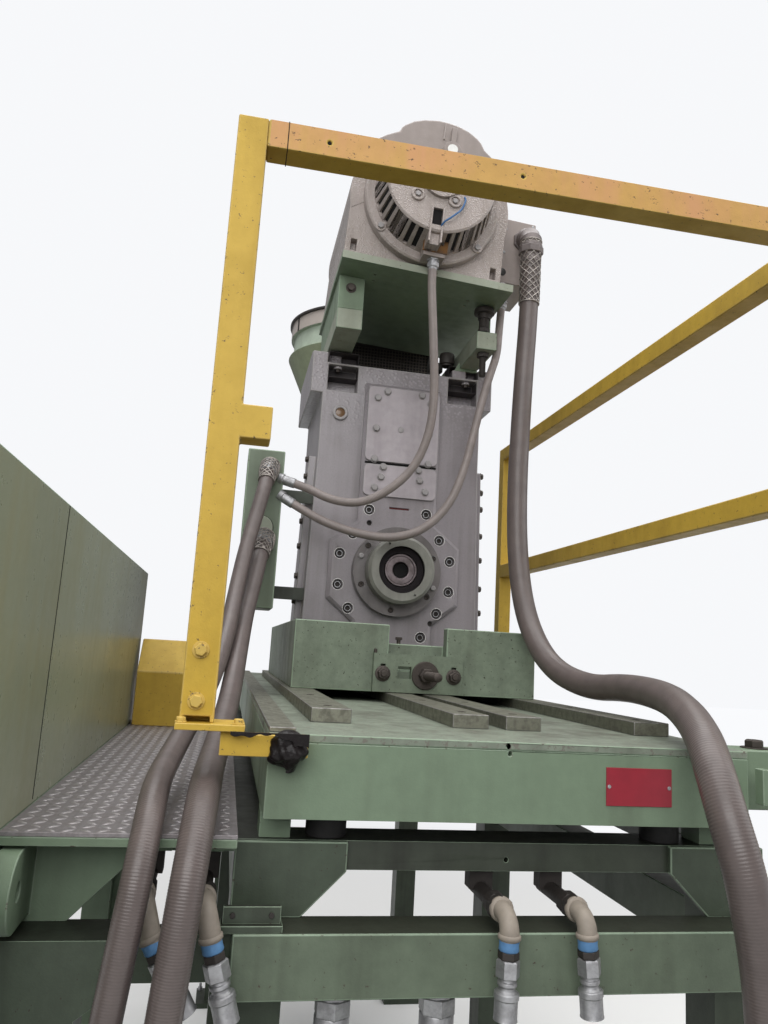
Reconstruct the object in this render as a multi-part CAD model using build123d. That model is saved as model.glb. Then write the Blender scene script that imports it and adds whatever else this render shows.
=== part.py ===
from build123d import *
import math
import os

# Extruder station of a blow molding machine: base frame, table with ways, carriage,
# gearbox, hinged motor plate, motor, barrel, guard rails, walkway and side cabinet.
# Millimetres, +Z up, +Y away from the drive end, +X to the right seen from the drive end.
# While building, X = 0 is the screw axis, Y = 0 the table's front face and Z = 0 the floor.

# Table
TABLE_LEFT = -441.0
TABLE_RIGHT = 381.0
TABLE_TOP = 1420.0
TABLE_DEEP = 127.0
TABLE_PLATE = 13.0
TABLE_LENGTH = 2700.0
TABLE_WALL = 12.0
TABLE_LEDGE = 64.0
STRIP_WIDE = 42.0
STRIP_HIGH = 8.0
SIGN_X0 = 118.0
SIGN_X1 = 236.0
SIGN_HIGH = 61.0
PAD_R = 34.0
PAD_SPREAD = 300.0

# Ways and carriage
WAY_HIGH = 26.0
WAY_WIDE = 75.0
WAY_OUTER = 356.0
WAY_GAP = 34.0
WAY_INNER_WIDE = 71.0
WAY_START = 210.0
WAY_END = 2300.0
CARR_HALF = 342.0
CARR_HIGH = 182.0
CARR_FRONT = 890.0
CARR_END = 2060.0
CARR_WALL = 20.0
CARR_FRONT_WALL = 40.0
CARR_FLOOR = 30.0
NOTCH_HALF = 82.0
NOTCH_SILL = 60.0
NOTCH_BACK_HIGH = 132.0

# Adjuster on the carriage front
ADJ_HALF = 125.0
ADJ_HIGH = 102.0
ADJ_THICK = 20.0
ADJ_BOLT_X = 99.0
ADJ_BOLT_UP = 48.0
ADJ_HEX_R = 14.0
ADJ_SCREW_X = 19.0
ADJ_SCREW_R = 11.0

# Gearbox
AXIS_OVER_TABLE = 391.0
AXIS_Z = TABLE_TOP + AXIS_OVER_TABLE
GEAR_FRONT = 1299.0
GEAR_DEPTH = 480.0
GEAR_HALF_LOW = 294.0
GEAR_HALF_HIGH = 278.0
GEAR_TAPER_Z = 2190.0
GEAR_TOP = 2515.0
FLANGE_HALF_LOW = 316.0
FLANGE_HALF_HIGH = 303.0
FLANGE_THICK = 26.0
FLANGE_SETBACK = 40.0
PAD_OUTER = 318.0
PAD_INNER = 266.0
PAD_WIDE = 102.0
POCKET_X0 = 160.0
POCKET_X1 = 262.0
POCKET_HIGH = 90.0
POCKET_DEEP = 60.0
BAND_HALF = 132.0
BAND_TOP = 2450.0
OCT_HALF = 219.0
OCT_SIDE = 95.0
OCT_CORNER_Z = 166.0
OCT_THICK = 26.0
LID_HALF = 124.0
LID_CORNER = 18.0
LID_THICK = 8.0
LID_UP_Z0 = 2178.0
LID_UP_HIGH = 259.0
LID_LOW_HIGH = 108.0
LID_SPLIT = 10.0
COVER_R = 144.0
COVER_THICK = 46.0
HUB_R = 107.0
HUB_LONG = 72.0
HUB_RECESS_R = 74.0
HUB_RECESS_DEEP = 58.0
SHAFT_R = 46.0
SHAFT_BORE_R = 25.0
SHAFT_OUT = 96.0
RUN_GAP = 0.05
SIGHT_X = -213.0
SIGHT_DROP = 176.0
SIGHT_R = 25.0
BREATHER_X = 120.0
BREATHER_R = 26.0
BREATHER_HIGH = 58.0

# Barrel side
THROAT_HALF = 150.0
THROAT_LONG = 660.0
HOPPER_X = -30.0
HOPPER_BACK = 500.0
HOPPER_NECK = 160.0
HOPPER_NECK_TOP = 2150.0
HOPPER_CONE_TOP = 2870.0
HOPPER_TOP = 3030.0
HOPPER_R = 322.0
HOPPER_SIDES = 32
BARREL_R = 130.0
BARREL_LONG = 820.0
SUPPORT_OUT = 110.0
FLANGE_R = 165.0
FLANGE_LONG = 60.0
BARREL_BORE_R = 44.45
BARREL_BORE_LONG = 40.0
FLANGE_PCD = 270.0
FLANGE_HOLE_R = 9.0
FLANGE_HOLES = 6
BELT_X0 = -136.0
BELT_X1 = 200.0
BELT_Z0 = 2150.0
BELT_Z1 = 3150.0
BELT_DEEP = 120.0

# Motor and its hinged plate
PLATE_HALF = 277.0
PLATE_THICK = 24.0
PLATE_FRONT = 990.0
PLATE_BACK = 1633.0
PLATE_Z = 2724.0
TILT = 3.7
ARM_FRONT = 1106.0
ARM_BACK = 1640.0
ARM_BOTTOM = 2562.0
ARM_L0 = -268.0
ARM_L1 = -185.0
ARM_R0 = 197.0
ARM_R1 = 265.0
ARM_R_HIGH = 60.0
HINGE_Z = 2629.0
SCREW_X = 231.0
SCREW_Y = 1140.0
SCREW_R = 11.0
NUT_R = 20.0
NUT_HIGH = 16.0
JACK_KNOB_R = 26.0
MOTOR_X = -18.0
MOTOR_AXIS = 225.0
MOTOR_BODY_R = 262.0
MOTOR_FOOT_HALF = 256.0
MOTOR_BODY_FRONT = 1010.0
MOTOR_BACK = 1560.0
MOTOR_SHAFT_R = 35.0
RING_R = 219.0
RING_THICK = 35.0
BELL_DEEP = 110.0
BELL_R_BACK = 190.0
BELL_R_FRONT = 170.0
SLOT_WIDE = 15.0
SLOT_PITCH = 12.0
CAP_R = 62.0
CAP_THICK = 12.0
HOOD_R = 199.0
HOOD_THICK = 5.0
HOOD_LOW = 66.0
EYE_R = 28.0
EYE_HOLE_R = 16.0
TERM_X1 = 371.0
TERM_FRONT = 1100.0
TERM_DEEP = 200.0
TERM_Z0 = 62.0
TERM_Z1 = 319.0

# Base frame
BEAM_LOW_Z0 = 1047.0
BEAM_LOW_Z1 = 1138.0
BEAM_FRONT = -24.0
LEG = 90.0
LEG_FRONT = 60.0
UPPER_Z0 = 1206.0
UPPER_Z1 = 1251.0
BASE_LEFT = -477.0
BASE_RIGHT = 441.0
FOOT_PLATE = 20.0
FOOT_RIM = 35.0
ANCHOR_R = 7.0
GUSSET_THICK = 12.0
SIDE_LEG_X0 = -787.0
SIDE_LEG_X1 = -676.0
SIDE_LEG_TOP_X1 = -636.0
SIDE_LEG_FRONT = -44.0
SIDE_LEG_DEEP = 90.0

# Walkway, cabinet and guard
WALK_Z = 1281.0
WALK_LEFT = -800.0
WALK_RIGHT = BASE_LEFT
WALK_FRONT = -54.0
WALK_BACK = 1580.0
WALK_SHEET = 6.0
WALK_RIM = 13.0
WALK_FRAME_HIGH = 40.0
WALK_BAR = 60.0
LUG_THICK = 30.0
LUG_R = 54.0
LUG_HOLE_R = 13.0
CAB_X0 = -1150.0
CAB_Y0 = -300.0
CAB_Y1 = 1520.0
CAB_TOP = 1769.0
CAB_LEG = 80.0
YELLOW_BOX_HIGH = 270.0
TUBE = 50.8
POST_X = -552.0
POST_Y = -9.0
POST_TOP = 2435.0
GUARD_RIGHT = 585.0
GUARD_BACK = 1850.0
LOW_RAIL_Z = 1910.0

# Electrical boxes and conduits
BOX_X0 = -505.0
BOX_X1 = -392.0
BOX_FRONT = 1150.0
BOX_DEEP = 180.0
BOX_Z0 = 1662.0
BOX_Z1 = 2150.0
WIREWAY_X0 = -700.0
WIREWAY_X1 = 400.0
WIREWAY_FRONT = -240.0
WIREWAY_DEEP = 190.0
WIREWAY_TOP = 805.0
WIREWAY_HIGH = 165.0
CONDUIT_SIDES = 6
SMALL_SIDES = 12
GLAND_WALL = 8.0
GLAND_LONG = 45.0
CONDUIT_RIGHT = 60.3
CONDUIT_LEFT_LARGE = 48.3
CONDUIT_LEFT_SMALL = 42.2
CONDUIT_LOOP = 26.7

# Water fittings under the table
WATER_FRONT = -20.0
WATER_PIPE_R = 14.0
WATER_COLLAR_R = 26.0
WATER_ELBOW_R = 20.0
WATER_BEND = 38.0
WATER_LEFT_X = (-592.0, -506.0)
WATER_RIGHT_X = (-81.0, 44.0)
WATER_LONG = 140.0


def block(x0, x1, y0, y1, z0, z1):
    size = Box(x1 - x0, y1 - y0, z1 - z0)
    return Pos((x0 + x1) / 2, (y0 + y1) / 2, (z0 + z1) / 2) * size


def prism_y(points, y0, y1):
    face = Plane((0, y1, 0), x_dir=(1, 0, 0), z_dir=(0, -1, 0)) * Polygon(*points, align=None)
    return extrude(face, amount=y1 - y0)


def prism_x(points, x0, x1):
    face = Plane((x0, 0, 0), x_dir=(0, 1, 0), z_dir=(1, 0, 0)) * Polygon(*points, align=None)
    return extrude(face, amount=x1 - x0)


def prism_z(points, z0, z1):
    face = Pos(0, 0, z0) * Polygon(*points, align=None)
    return extrude(face, amount=z1 - z0)


def rod_x(y, z, r, x0, x1):
    return Pos((x0 + x1) / 2, y, z) * Rot(0, 90, 0) * Cylinder(r, x1 - x0)


def rod_y(x, z, r, y0, y1):
    return Pos(x, (y0 + y1) / 2, z) * Rot(90, 0, 0) * Cylinder(r, y1 - y0)


def rod_z(x, y, r, z0, z1):
    return Pos(x, y, (z0 + z1) / 2) * Cylinder(r, z1 - z0)


def ring_points(a, b, r, sides):
    turn = 2 * math.pi / sides
    return [(a + r * math.cos(k * turn), b + r * math.sin(k * turn)) for k in range(sides)]


def hex_y(x, z, r, y0, y1):
    return prism_y(ring_points(x, z, r, 6), y0, y1)


def hex_z(x, y, r, z0, z1):
    return prism_z(ring_points(x, y, r, 6), z0, z1)


def barrel_y(x, z, r, y0, y1):
    # A small round piece along Y with few faces
    return prism_y(ring_points(x, z, r, SMALL_SIDES), y0, y1)


def barrel_z(x, y, r, z0, z1):
    return prism_z(ring_points(x, y, r, SMALL_SIDES), z0, z1)


def turned_y(profile, x, z):
    # A solid of revolution about the axis along Y through (x, z), from (radius, y) points
    face = Plane((0, 0, 0), x_dir=(1, 0, 0), z_dir=(0, 0, 1)) * Polygon(*profile, align=None)
    return Pos(x, 0, z) * revolve(face, axis=Axis.Y)


def tilted(shape):
    return Pos(0, 0, PLATE_Z) * Rot(0, TILT, 0) * shape


def route_radii(points):
    # The largest arcs that the straight runs of a route leave room for
    radii = []
    for before, here, after in zip(points, points[1:], points[2:]):
        run_in = Vector(*here) - Vector(*before)
        run_out = Vector(*after) - Vector(*here)
        half_turn = math.radians(run_in.get_angle(run_out) / 2)
        radii.append(0.45 * min(run_in.length, run_out.length) / math.tan(half_turn))
    return radii


def conduit(name, points, diameter):
    radii = route_radii(points)
    path = FilletPolyline(*points, radius=radii)
    start = Plane(origin=path @ 0, z_dir=path % 0)
    section = start * RegularPolygon(diameter / 2, CONDUIT_SIDES)
    tube = sweep(section, path=path)
    error = tube.volume / (section.area * path.length) - 1
    print(name, "length", round(path.length), "volume error", round(error, 5))
    print("    radii", [round(r) for r in radii])
    parts[name] = tube
    return path


def gland(point, direction, diameter, length):
    body = extrude(RegularPolygon(diameter / 2 + GLAND_WALL, SMALL_SIDES), amount=length)
    return Plane(origin=point, z_dir=direction) * body


parts = {}

# Base frame
TABLE_BOTTOM = TABLE_TOP - TABLE_DEEP
LEG_BACK = TABLE_LENGTH - LEG - 50
LEG_ROWS = (LEG_FRONT, (LEG_FRONT + LEG_BACK) / 2, LEG_BACK)
LEG_COLUMNS = (BASE_LEFT, BASE_RIGHT - LEG)
legs = []
for y in LEG_ROWS:
    for x in LEG_COLUMNS:
        foot = block(x - FOOT_RIM, x + LEG + FOOT_RIM, y - FOOT_RIM, y + LEG + FOOT_RIM, 0, FOOT_PLATE)
        if y != LEG_ROWS[1]:
            for hole_x in (x - 20, x + LEG + 20):
                foot -= rod_z(hole_x, y + LEG + 20, ANCHOR_R, -1, FOOT_PLATE + 1)
        legs.append(foot + block(x, x + LEG, y, y + LEG, FOOT_PLATE, UPPER_Z0))
parts["base_legs"] = Compound(legs)

BASE_BACK = LEG_BACK + LEG
beams = [block(BASE_LEFT + 5, BASE_RIGHT, BEAM_FRONT, LEG_FRONT, BEAM_LOW_Z0, BEAM_LOW_Z1)]
for x in LEG_COLUMNS:
    for y0, y1 in zip(LEG_ROWS, LEG_ROWS[1:]):
        beams.append(block(x + 10, x + LEG - 10, y0 + LEG, y1, BEAM_LOW_Z0, BEAM_LOW_Z1))
parts["base_beams"] = Compound(beams)
upper = block(BASE_LEFT, BASE_RIGHT, LEG_FRONT, BASE_BACK, UPPER_Z0, UPPER_Z1)
for y0, y1 in zip(LEG_ROWS, LEG_ROWS[1:]):
    upper -= block(BASE_LEFT + LEG, BASE_RIGHT - LEG, y0 + LEG, y1, UPPER_Z0 - 1, UPPER_Z1 + 1)
parts["base_upper_frame"] = upper
gusset_left = prism_y([(BASE_LEFT, BEAM_LOW_Z1), (BASE_LEFT + 109, BEAM_LOW_Z1),
                       (BASE_LEFT + 178, UPPER_Z0), (BASE_LEFT + 178, UPPER_Z1), (BASE_LEFT, UPPER_Z1)],
                      LEG_FRONT - GUSSET_THICK, LEG_FRONT)
gusset_right = mirror(gusset_left, Plane.YZ.offset((BASE_LEFT + BASE_RIGHT) / 2))
parts["base_gussets"] = Compound([gusset_left, gusset_right])

# Side leg left of the base: it carries the front of the walkway
SIDE_LEG_BACK = SIDE_LEG_FRONT + SIDE_LEG_DEEP
side_leg = prism_y([(SIDE_LEG_X0, FOOT_PLATE), (SIDE_LEG_X1, FOOT_PLATE), (SIDE_LEG_X1, BEAM_LOW_Z1 - 102),
                    (SIDE_LEG_TOP_X1, BEAM_LOW_Z1 - 73), (SIDE_LEG_TOP_X1, BEAM_LOW_Z1),
                    (SIDE_LEG_X0, BEAM_LOW_Z1)], SIDE_LEG_FRONT, SIDE_LEG_BACK)
side_leg += block(SIDE_LEG_X0 - 10, SIDE_LEG_X1 + FOOT_RIM, SIDE_LEG_FRONT - FOOT_RIM,
                  SIDE_LEG_BACK + FOOT_RIM, 0, FOOT_PLATE)
side_leg += block(SIDE_LEG_TOP_X1, BASE_LEFT + 5, SIDE_LEG_BACK - 46, SIDE_LEG_BACK,
                  BEAM_LOW_Z0 + 19, BEAM_LOW_Z1 - 7)
parts["base_side_leg"] = side_leg

# Table
TABLE_MID = (TABLE_LEFT + TABLE_RIGHT) / 2
feet = []
pads = []
for y in LEG_ROWS:
    for x in (TABLE_LEFT, TABLE_RIGHT - 50):
        feet.append(block(x, x + 50, y + 10, y + 70, UPPER_Z1, TABLE_BOTTOM))
    for x in (TABLE_MID - PAD_SPREAD, TABLE_MID + PAD_SPREAD):
        pads.append(barrel_z(x, y + 40, PAD_R, UPPER_Z1, TABLE_BOTTOM))
parts["table_feet"] = Compound(feet)
parts["isolation_pads"] = Compound(pads)
TABLE_UNDER = TABLE_TOP - TABLE_PLATE
table = block(TABLE_LEFT, TABLE_RIGHT, 0, TABLE_LENGTH, TABLE_BOTTOM, TABLE_UNDER)
BAY = (TABLE_LENGTH - TABLE_WALL) / 3
for k in range(3):
    y0 = k * BAY + TABLE_WALL
    y1 = (k + 1) * BAY
    table -= block(TABLE_LEFT + TABLE_WALL, TABLE_RIGHT - TABLE_WALL, y0, y1,
                   TABLE_BOTTOM + TABLE_WALL, TABLE_UNDER + 1)
    table -= block(TABLE_LEFT + TABLE_WALL + TABLE_LEDGE, TABLE_RIGHT - TABLE_WALL - TABLE_LEDGE,
                   y0 + TABLE_LEDGE, y1 - TABLE_LEDGE, TABLE_BOTTOM - 1, TABLE_UNDER)
parts["table_frame"] = table
parts["table_top"] = block(TABLE_LEFT, TABLE_RIGHT, 0, TABLE_LENGTH, TABLE_UNDER, TABLE_TOP)
SIGN_Z0 = TABLE_BOTTOM + 32
parts["warning_plate"] = block(SIGN_X0, SIGN_X1, -2, 0, SIGN_Z0, SIGN_Z0 + SIGN_HIGH)

# Way bars, with the flat strip along the table's left edge
WAY_TOP = TABLE_TOP + WAY_HIGH
ways = [block(TABLE_LEFT, TABLE_LEFT + STRIP_WIDE, 12, TABLE_LENGTH - 12, TABLE_TOP, TABLE_TOP + STRIP_HIGH)]
for side in (-1, 1):
    outer = sorted((side * (WAY_OUTER - WAY_WIDE), side * WAY_OUTER))
    inner = sorted((side * WAY_GAP / 2, side * (WAY_GAP / 2 + WAY_INNER_WIDE)))
    for x0, x1 in (outer, inner):
        ways.append(block(x0, x1, WAY_START, WAY_END, TABLE_TOP, WAY_TOP))
parts["way_bars"] = Compound(ways)

# Carriage
CARR_TOP = WAY_TOP + CARR_HIGH
CARR_PIT = CARR_FRONT + CARR_FRONT_WALL
carr = block(-CARR_HALF, CARR_HALF, CARR_FRONT, CARR_END, WAY_TOP, CARR_TOP)
carr -= block(-CARR_HALF + CARR_WALL, CARR_HALF - CARR_WALL, CARR_PIT, CARR_END - CARR_WALL,
              WAY_TOP + CARR_FLOOR, CARR_TOP + 1)
carr -= block(-NOTCH_HALF, NOTCH_HALF, CARR_FRONT - 1, CARR_PIT + 1, WAY_TOP + NOTCH_SILL, CARR_TOP + 1)
carr += block(-NOTCH_HALF - 20, NOTCH_HALF + 20, CARR_PIT, CARR_PIT + 20,
              WAY_TOP + CARR_FLOOR, WAY_TOP + NOTCH_BACK_HIGH)
parts["carriage_frame"] = carr

# Adjuster
ADJ_FACE = CARR_FRONT - ADJ_THICK
ADJ_Z = WAY_TOP + ADJ_BOLT_UP
plate = block(-ADJ_HALF, ADJ_HALF, ADJ_FACE, CARR_FRONT, WAY_TOP + 2, WAY_TOP + 2 + ADJ_HIGH)
plate -= block(-58, -20, ADJ_FACE - 1, CARR_FRONT + 1, ADJ_Z - 9, ADJ_Z + 24)
parts["adjuster_plate"] = plate
screws = [hex_y(x, ADJ_Z, ADJ_HEX_R, ADJ_FACE - 18, ADJ_FACE) for x in (-ADJ_BOLT_X, ADJ_BOLT_X)]
screws.append(hex_y(ADJ_SCREW_X, ADJ_Z, NUT_R, ADJ_FACE - 26, ADJ_FACE)
              + rod_y(ADJ_SCREW_X, ADJ_Z, ADJ_SCREW_R, ADJ_FACE - 80, ADJ_FACE - 26))
parts["adjuster_screws"] = Compound(screws)

# Gearbox
GEAR_BACK = GEAR_FRONT + GEAR_DEPTH
GEAR_BOTTOM = WAY_TOP + CARR_FLOOR
housing = prism_y([(-GEAR_HALF_LOW, GEAR_BOTTOM), (GEAR_HALF_LOW, GEAR_BOTTOM),
                   (GEAR_HALF_HIGH, GEAR_TAPER_Z), (GEAR_HALF_HIGH, GEAR_TOP),
                   (-GEAR_HALF_HIGH, GEAR_TOP), (-GEAR_HALF_HIGH, GEAR_TAPER_Z)],
                  GEAR_FRONT, GEAR_BACK)
housing += prism_y([(-FLANGE_HALF_LOW, GEAR_BOTTOM), (FLANGE_HALF_LOW, GEAR_BOTTOM),
                    (FLANGE_HALF_HIGH, GEAR_TAPER_Z), (-FLANGE_HALF_HIGH, GEAR_TAPER_Z)],
                   GEAR_FRONT + FLANGE_SETBACK, GEAR_FRONT + FLANGE_SETBACK + FLANGE_THICK)
for side in (-1, 1):
    corner = sorted((side * PAD_INNER, side * PAD_OUTER))
    seat = sorted((side * (PAD_OUTER - PAD_WIDE), side * PAD_OUTER))
    pocket = sorted((side * POCKET_X0, side * POCKET_X1))
    housing += block(*corner, GEAR_FRONT, GEAR_FRONT + FLANGE_SETBACK, GEAR_TOP - 110, ARM_BOTTOM - 12)
    housing += block(*seat, GEAR_FRONT + FLANGE_SETBACK, GEAR_BACK, GEAR_TOP - 110, ARM_BOTTOM)
    housing -= block(*pocket, GEAR_FRONT - 1, GEAR_FRONT + POCKET_DEEP,
                     GEAR_TOP - 8 - POCKET_HIGH, GEAR_TOP - 8)
parts["gearbox_housing"] = housing
BAND_FRONT = GEAR_FRONT - OCT_THICK
half_outline = [(BAND_HALF, GEAR_BOTTOM), (BAND_HALF, AXIS_Z - OCT_CORNER_Z), (OCT_HALF, AXIS_Z - OCT_SIDE),
                (OCT_HALF, AXIS_Z + OCT_SIDE), (BAND_HALF, AXIS_Z + OCT_CORNER_Z), (BAND_HALF, BAND_TOP)]
other_half = [(-x, z) for x, z in reversed(half_outline)]
parts["gearbox_front_plate"] = prism_y(half_outline + other_half, BAND_FRONT, GEAR_FRONT)
lids = []
for z0, high in ((LID_UP_Z0, LID_UP_HIGH), (LID_UP_Z0 - LID_SPLIT - LID_LOW_HIGH, LID_LOW_HIGH)):
    outline = Plane((0, BAND_FRONT, z0 + high / 2), x_dir=(1, 0, 0), z_dir=(0, -1, 0)) * RectangleRounded(
        2 * LID_HALF, high, LID_CORNER)
    lids.append(extrude(outline, amount=LID_THICK))
parts["gearbox_covers"] = Compound(lids)
HUB_FRONT = BAND_FRONT - COVER_THICK - HUB_LONG
RECESS_END = HUB_FRONT + HUB_RECESS_DEEP
parts["bearing_cover"] = turned_y([(SHAFT_R + RUN_GAP, BAND_FRONT), (COVER_R, BAND_FRONT),
                                   (COVER_R, BAND_FRONT - COVER_THICK), (HUB_R, BAND_FRONT - COVER_THICK),
                                   (HUB_R, HUB_FRONT), (HUB_RECESS_R, HUB_FRONT),
                                   (HUB_RECESS_R, RECESS_END), (SHAFT_R + RUN_GAP, RECESS_END)], 0, AXIS_Z)
SHAFT_FRONT = BAND_FRONT - SHAFT_OUT
parts["output_shaft"] = turned_y([(0, BAND_FRONT - 1), (SHAFT_R, BAND_FRONT - 1), (SHAFT_R, SHAFT_FRONT),
                                  (SHAFT_BORE_R, SHAFT_FRONT), (SHAFT_BORE_R, BAND_FRONT - 20),
                                  (0, BAND_FRONT - 20)], 0, AXIS_Z)
sight = rod_y(SIGHT_X, GEAR_TOP - SIGHT_DROP, SIGHT_R, GEAR_FRONT - 10, GEAR_FRONT)
breather = rod_z(BREATHER_X, GEAR_FRONT + 45, BREATHER_R, GEAR_TOP, GEAR_TOP + BREATHER_HIGH)
parts["gearbox_fittings"] = Compound([sight, breather])

# Arms that carry the motor plate
arm_left = block(ARM_L0, ARM_L1, ARM_FRONT, ARM_BACK, ARM_BOTTOM, HINGE_Z)
arm_right = block(ARM_R0, ARM_R1, ARM_FRONT - 6, ARM_BACK, ARM_BOTTOM, ARM_BOTTOM - 12 + ARM_R_HIGH)
arm_right += block(ARM_R0, ARM_R1, ARM_FRONT - 6, GEAR_FRONT, ARM_BOTTOM - 12, ARM_BOTTOM)
parts["motor_arms"] = Compound([arm_left, arm_right])
TILT_TAN = math.tan(math.radians(TILT))
parts["hinge_bar"] = prism_y([(ARM_L0, HINGE_Z), (ARM_L1, HINGE_Z), (ARM_L1, PLATE_Z - ARM_L1 * TILT_TAN),
                              (ARM_L0, PLATE_Z - ARM_L0 * TILT_TAN)], ARM_FRONT, ARM_BACK - 40)
parts["motor_plate"] = tilted(block(-PLATE_HALF, PLATE_HALF, PLATE_FRONT, PLATE_BACK, 0, PLATE_THICK))
ARM_R_TOP = ARM_BOTTOM - 12 + ARM_R_HIGH
SCREW_TOP = PLATE_Z - SCREW_X * TILT_TAN - 3.5
JACK_LOW = ARM_BOTTOM - 12
jack_low = barrel_z(SCREW_X, SCREW_Y, SCREW_R, JACK_LOW - 81, JACK_LOW - NUT_HIGH)
jack_low += hex_z(SCREW_X, SCREW_Y, NUT_R, JACK_LOW - NUT_HIGH, JACK_LOW)
jack_high = barrel_z(SCREW_X, SCREW_Y, SCREW_R, ARM_R_TOP + NUT_HIGH, SCREW_TOP - 24)
jack_high += hex_z(SCREW_X, SCREW_Y, NUT_R, ARM_R_TOP, ARM_R_TOP + NUT_HIGH)
jack_high += barrel_z(SCREW_X, SCREW_Y, JACK_KNOB_R, SCREW_TOP - 24, SCREW_TOP)
parts["jackscrew"] = Compound([jack_low, jack_high])

# Motor, on the tilted plate
MOTOR_Z = PLATE_THICK + MOTOR_AXIS
RING_FRONT = MOTOR_BODY_FRONT - RING_THICK
BELL_FRONT = RING_FRONT - BELL_DEEP
BELT_FRONT = ARM_BACK + 5
frame = rod_y(MOTOR_X, MOTOR_Z, MOTOR_BODY_R, MOTOR_BODY_FRONT, MOTOR_BACK)
frame += block(MOTOR_X - MOTOR_FOOT_HALF, MOTOR_X + MOTOR_FOOT_HALF, MOTOR_BODY_FRONT, MOTOR_BACK,
               PLATE_THICK, MOTOR_Z)
frame -= block(MOTOR_X - MOTOR_BODY_R, MOTOR_X + MOTOR_BODY_R, MOTOR_BODY_FRONT - 1, MOTOR_BACK + 1,
               MOTOR_Z - MOTOR_BODY_R - 1, PLATE_THICK)
for x in (MOTOR_X - MOTOR_FOOT_HALF + 28, MOTOR_X + MOTOR_FOOT_HALF - 28):
    frame -= block(x - 9, x + 9, MOTOR_BODY_FRONT - 1, MOTOR_BODY_FRONT + 30,
                   PLATE_THICK + 16, PLATE_THICK + 54)
shaft_end = rod_y(MOTOR_X, MOTOR_Z, MOTOR_SHAFT_R, MOTOR_BACK, BELT_FRONT)
parts["motor_frame"] = tilted(frame + shaft_end)
bell = turned_y([(0, BELL_FRONT), (BELL_R_FRONT, BELL_FRONT), (BELL_R_BACK, RING_FRONT), (RING_R, RING_FRONT),
                 (RING_R, MOTOR_BODY_FRONT), (0, MOTOR_BODY_FRONT)], MOTOR_X, MOTOR_Z)
slot = block(-SLOT_WIDE / 2, SLOT_WIDE / 2, BELL_FRONT + 8, RING_FRONT - 6, -BELL_R_BACK, -BELL_R_BACK + 34)
for k in list(range(-7, -1)) + list(range(2, 8)):
    bell -= Pos(MOTOR_X, 0, MOTOR_Z) * Rot(0, k * SLOT_PITCH, 0) * slot
cap = rod_y(MOTOR_X, MOTOR_Z, CAP_R, BELL_FRONT - CAP_THICK, BELL_FRONT)
parts["motor_front_bell"] = tilted(bell + cap)
hood = rod_y(MOTOR_X, MOTOR_Z, HOOD_R, BELL_FRONT - 6, RING_FRONT)
hood -= rod_y(MOTOR_X, MOTOR_Z, HOOD_R - HOOD_THICK, BELL_FRONT, RING_FRONT + 1)
hood -= block(MOTOR_X - HOOD_R - 1, MOTOR_X + HOOD_R + 1, BELL_FRONT - 7, RING_FRONT + 1,
              MOTOR_Z - HOOD_R - 1, MOTOR_Z + HOOD_LOW)
parts["motor_hood"] = tilted(hood)
EYE_Y1 = BELL_FRONT - 6
EYE_Z = MOTOR_Z + CAP_R + EYE_R + 4
eye = barrel_y(MOTOR_X + 16, EYE_Z, EYE_R, EYE_Y1 - 14, EYE_Y1)
eye += block(MOTOR_X + 8, MOTOR_X + 24, EYE_Y1 - 14, EYE_Y1, EYE_Z + EYE_R - 4, EYE_Z + 100)
eye -= barrel_y(MOTOR_X + 16, EYE_Z, EYE_HOLE_R, EYE_Y1 - 15, EYE_Y1 + 1)
parts["lifting_eye"] = tilted(eye)
sensor = block(MOTOR_X - 22, MOTOR_X + 46, RING_FRONT - 56, RING_FRONT, PLATE_THICK + 2, PLATE_THICK + 48)
parts["motor_bracket"] = tilted(sensor - bell)
TERM_BACK = TERM_FRONT + TERM_DEEP
terminal = block(MOTOR_X + MOTOR_FOOT_HALF - 10, TERM_X1, TERM_FRONT, TERM_BACK, TERM_Z0, TERM_Z1) - frame
parts["terminal_box"] = tilted(terminal)

# Extruder behind the gearbox
THROAT_END = GEAR_BACK + THROAT_LONG
HOPPER_Y = GEAR_BACK + HOPPER_BACK
THROAT_TOP = AXIS_Z + THROAT_HALF
parts["feed_throat"] = block(-THROAT_HALF, THROAT_HALF, GEAR_BACK, THROAT_END,
                             AXIS_Z - THROAT_HALF, THROAT_TOP)
NECK = HOPPER_NECK / 2
hopper = block(HOPPER_X - NECK, HOPPER_X + NECK, HOPPER_Y - NECK, HOPPER_Y + NECK,
               THROAT_TOP, HOPPER_NECK_TOP)
CONE_HIGH = HOPPER_CONE_TOP - HOPPER_NECK_TOP
CONE_SPREAD = (HOPPER_R - NECK) * math.cos(math.pi / HOPPER_SIDES)
CONE_LEAN = math.degrees(math.atan(CONE_SPREAD / CONE_HIGH))
neck_ring = Pos(HOPPER_X, HOPPER_Y, HOPPER_NECK_TOP) * RegularPolygon(NECK, HOPPER_SIDES)
wide_ring = Pos(HOPPER_X, HOPPER_Y, HOPPER_CONE_TOP) * RegularPolygon(HOPPER_R, HOPPER_SIDES)
hopper += extrude(neck_ring, amount=CONE_HIGH, taper=-CONE_LEAN)
hopper += extrude(wide_ring, amount=HOPPER_TOP - HOPPER_CONE_TOP)
parts["feed_hopper"] = hopper
BARREL_END = THROAT_END + BARREL_LONG
barrel = rod_y(0, AXIS_Z, BARREL_R, THROAT_END, BARREL_END)
parts["barrel_cover"] = barrel
SUPPORT_Y = THROAT_END + SUPPORT_OUT
support = block(-90, 90, SUPPORT_Y - 40, SUPPORT_Y + 40, TABLE_TOP, AXIS_Z)
parts["barrel_support"] = support - barrel
OUTLET = BARREL_END + FLANGE_LONG
flange = rod_y(0, AXIS_Z, FLANGE_R, BARREL_END, OUTLET)
flange -= rod_y(0, AXIS_Z, BARREL_BORE_R, OUTLET - BARREL_BORE_LONG, OUTLET + 1)
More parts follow.
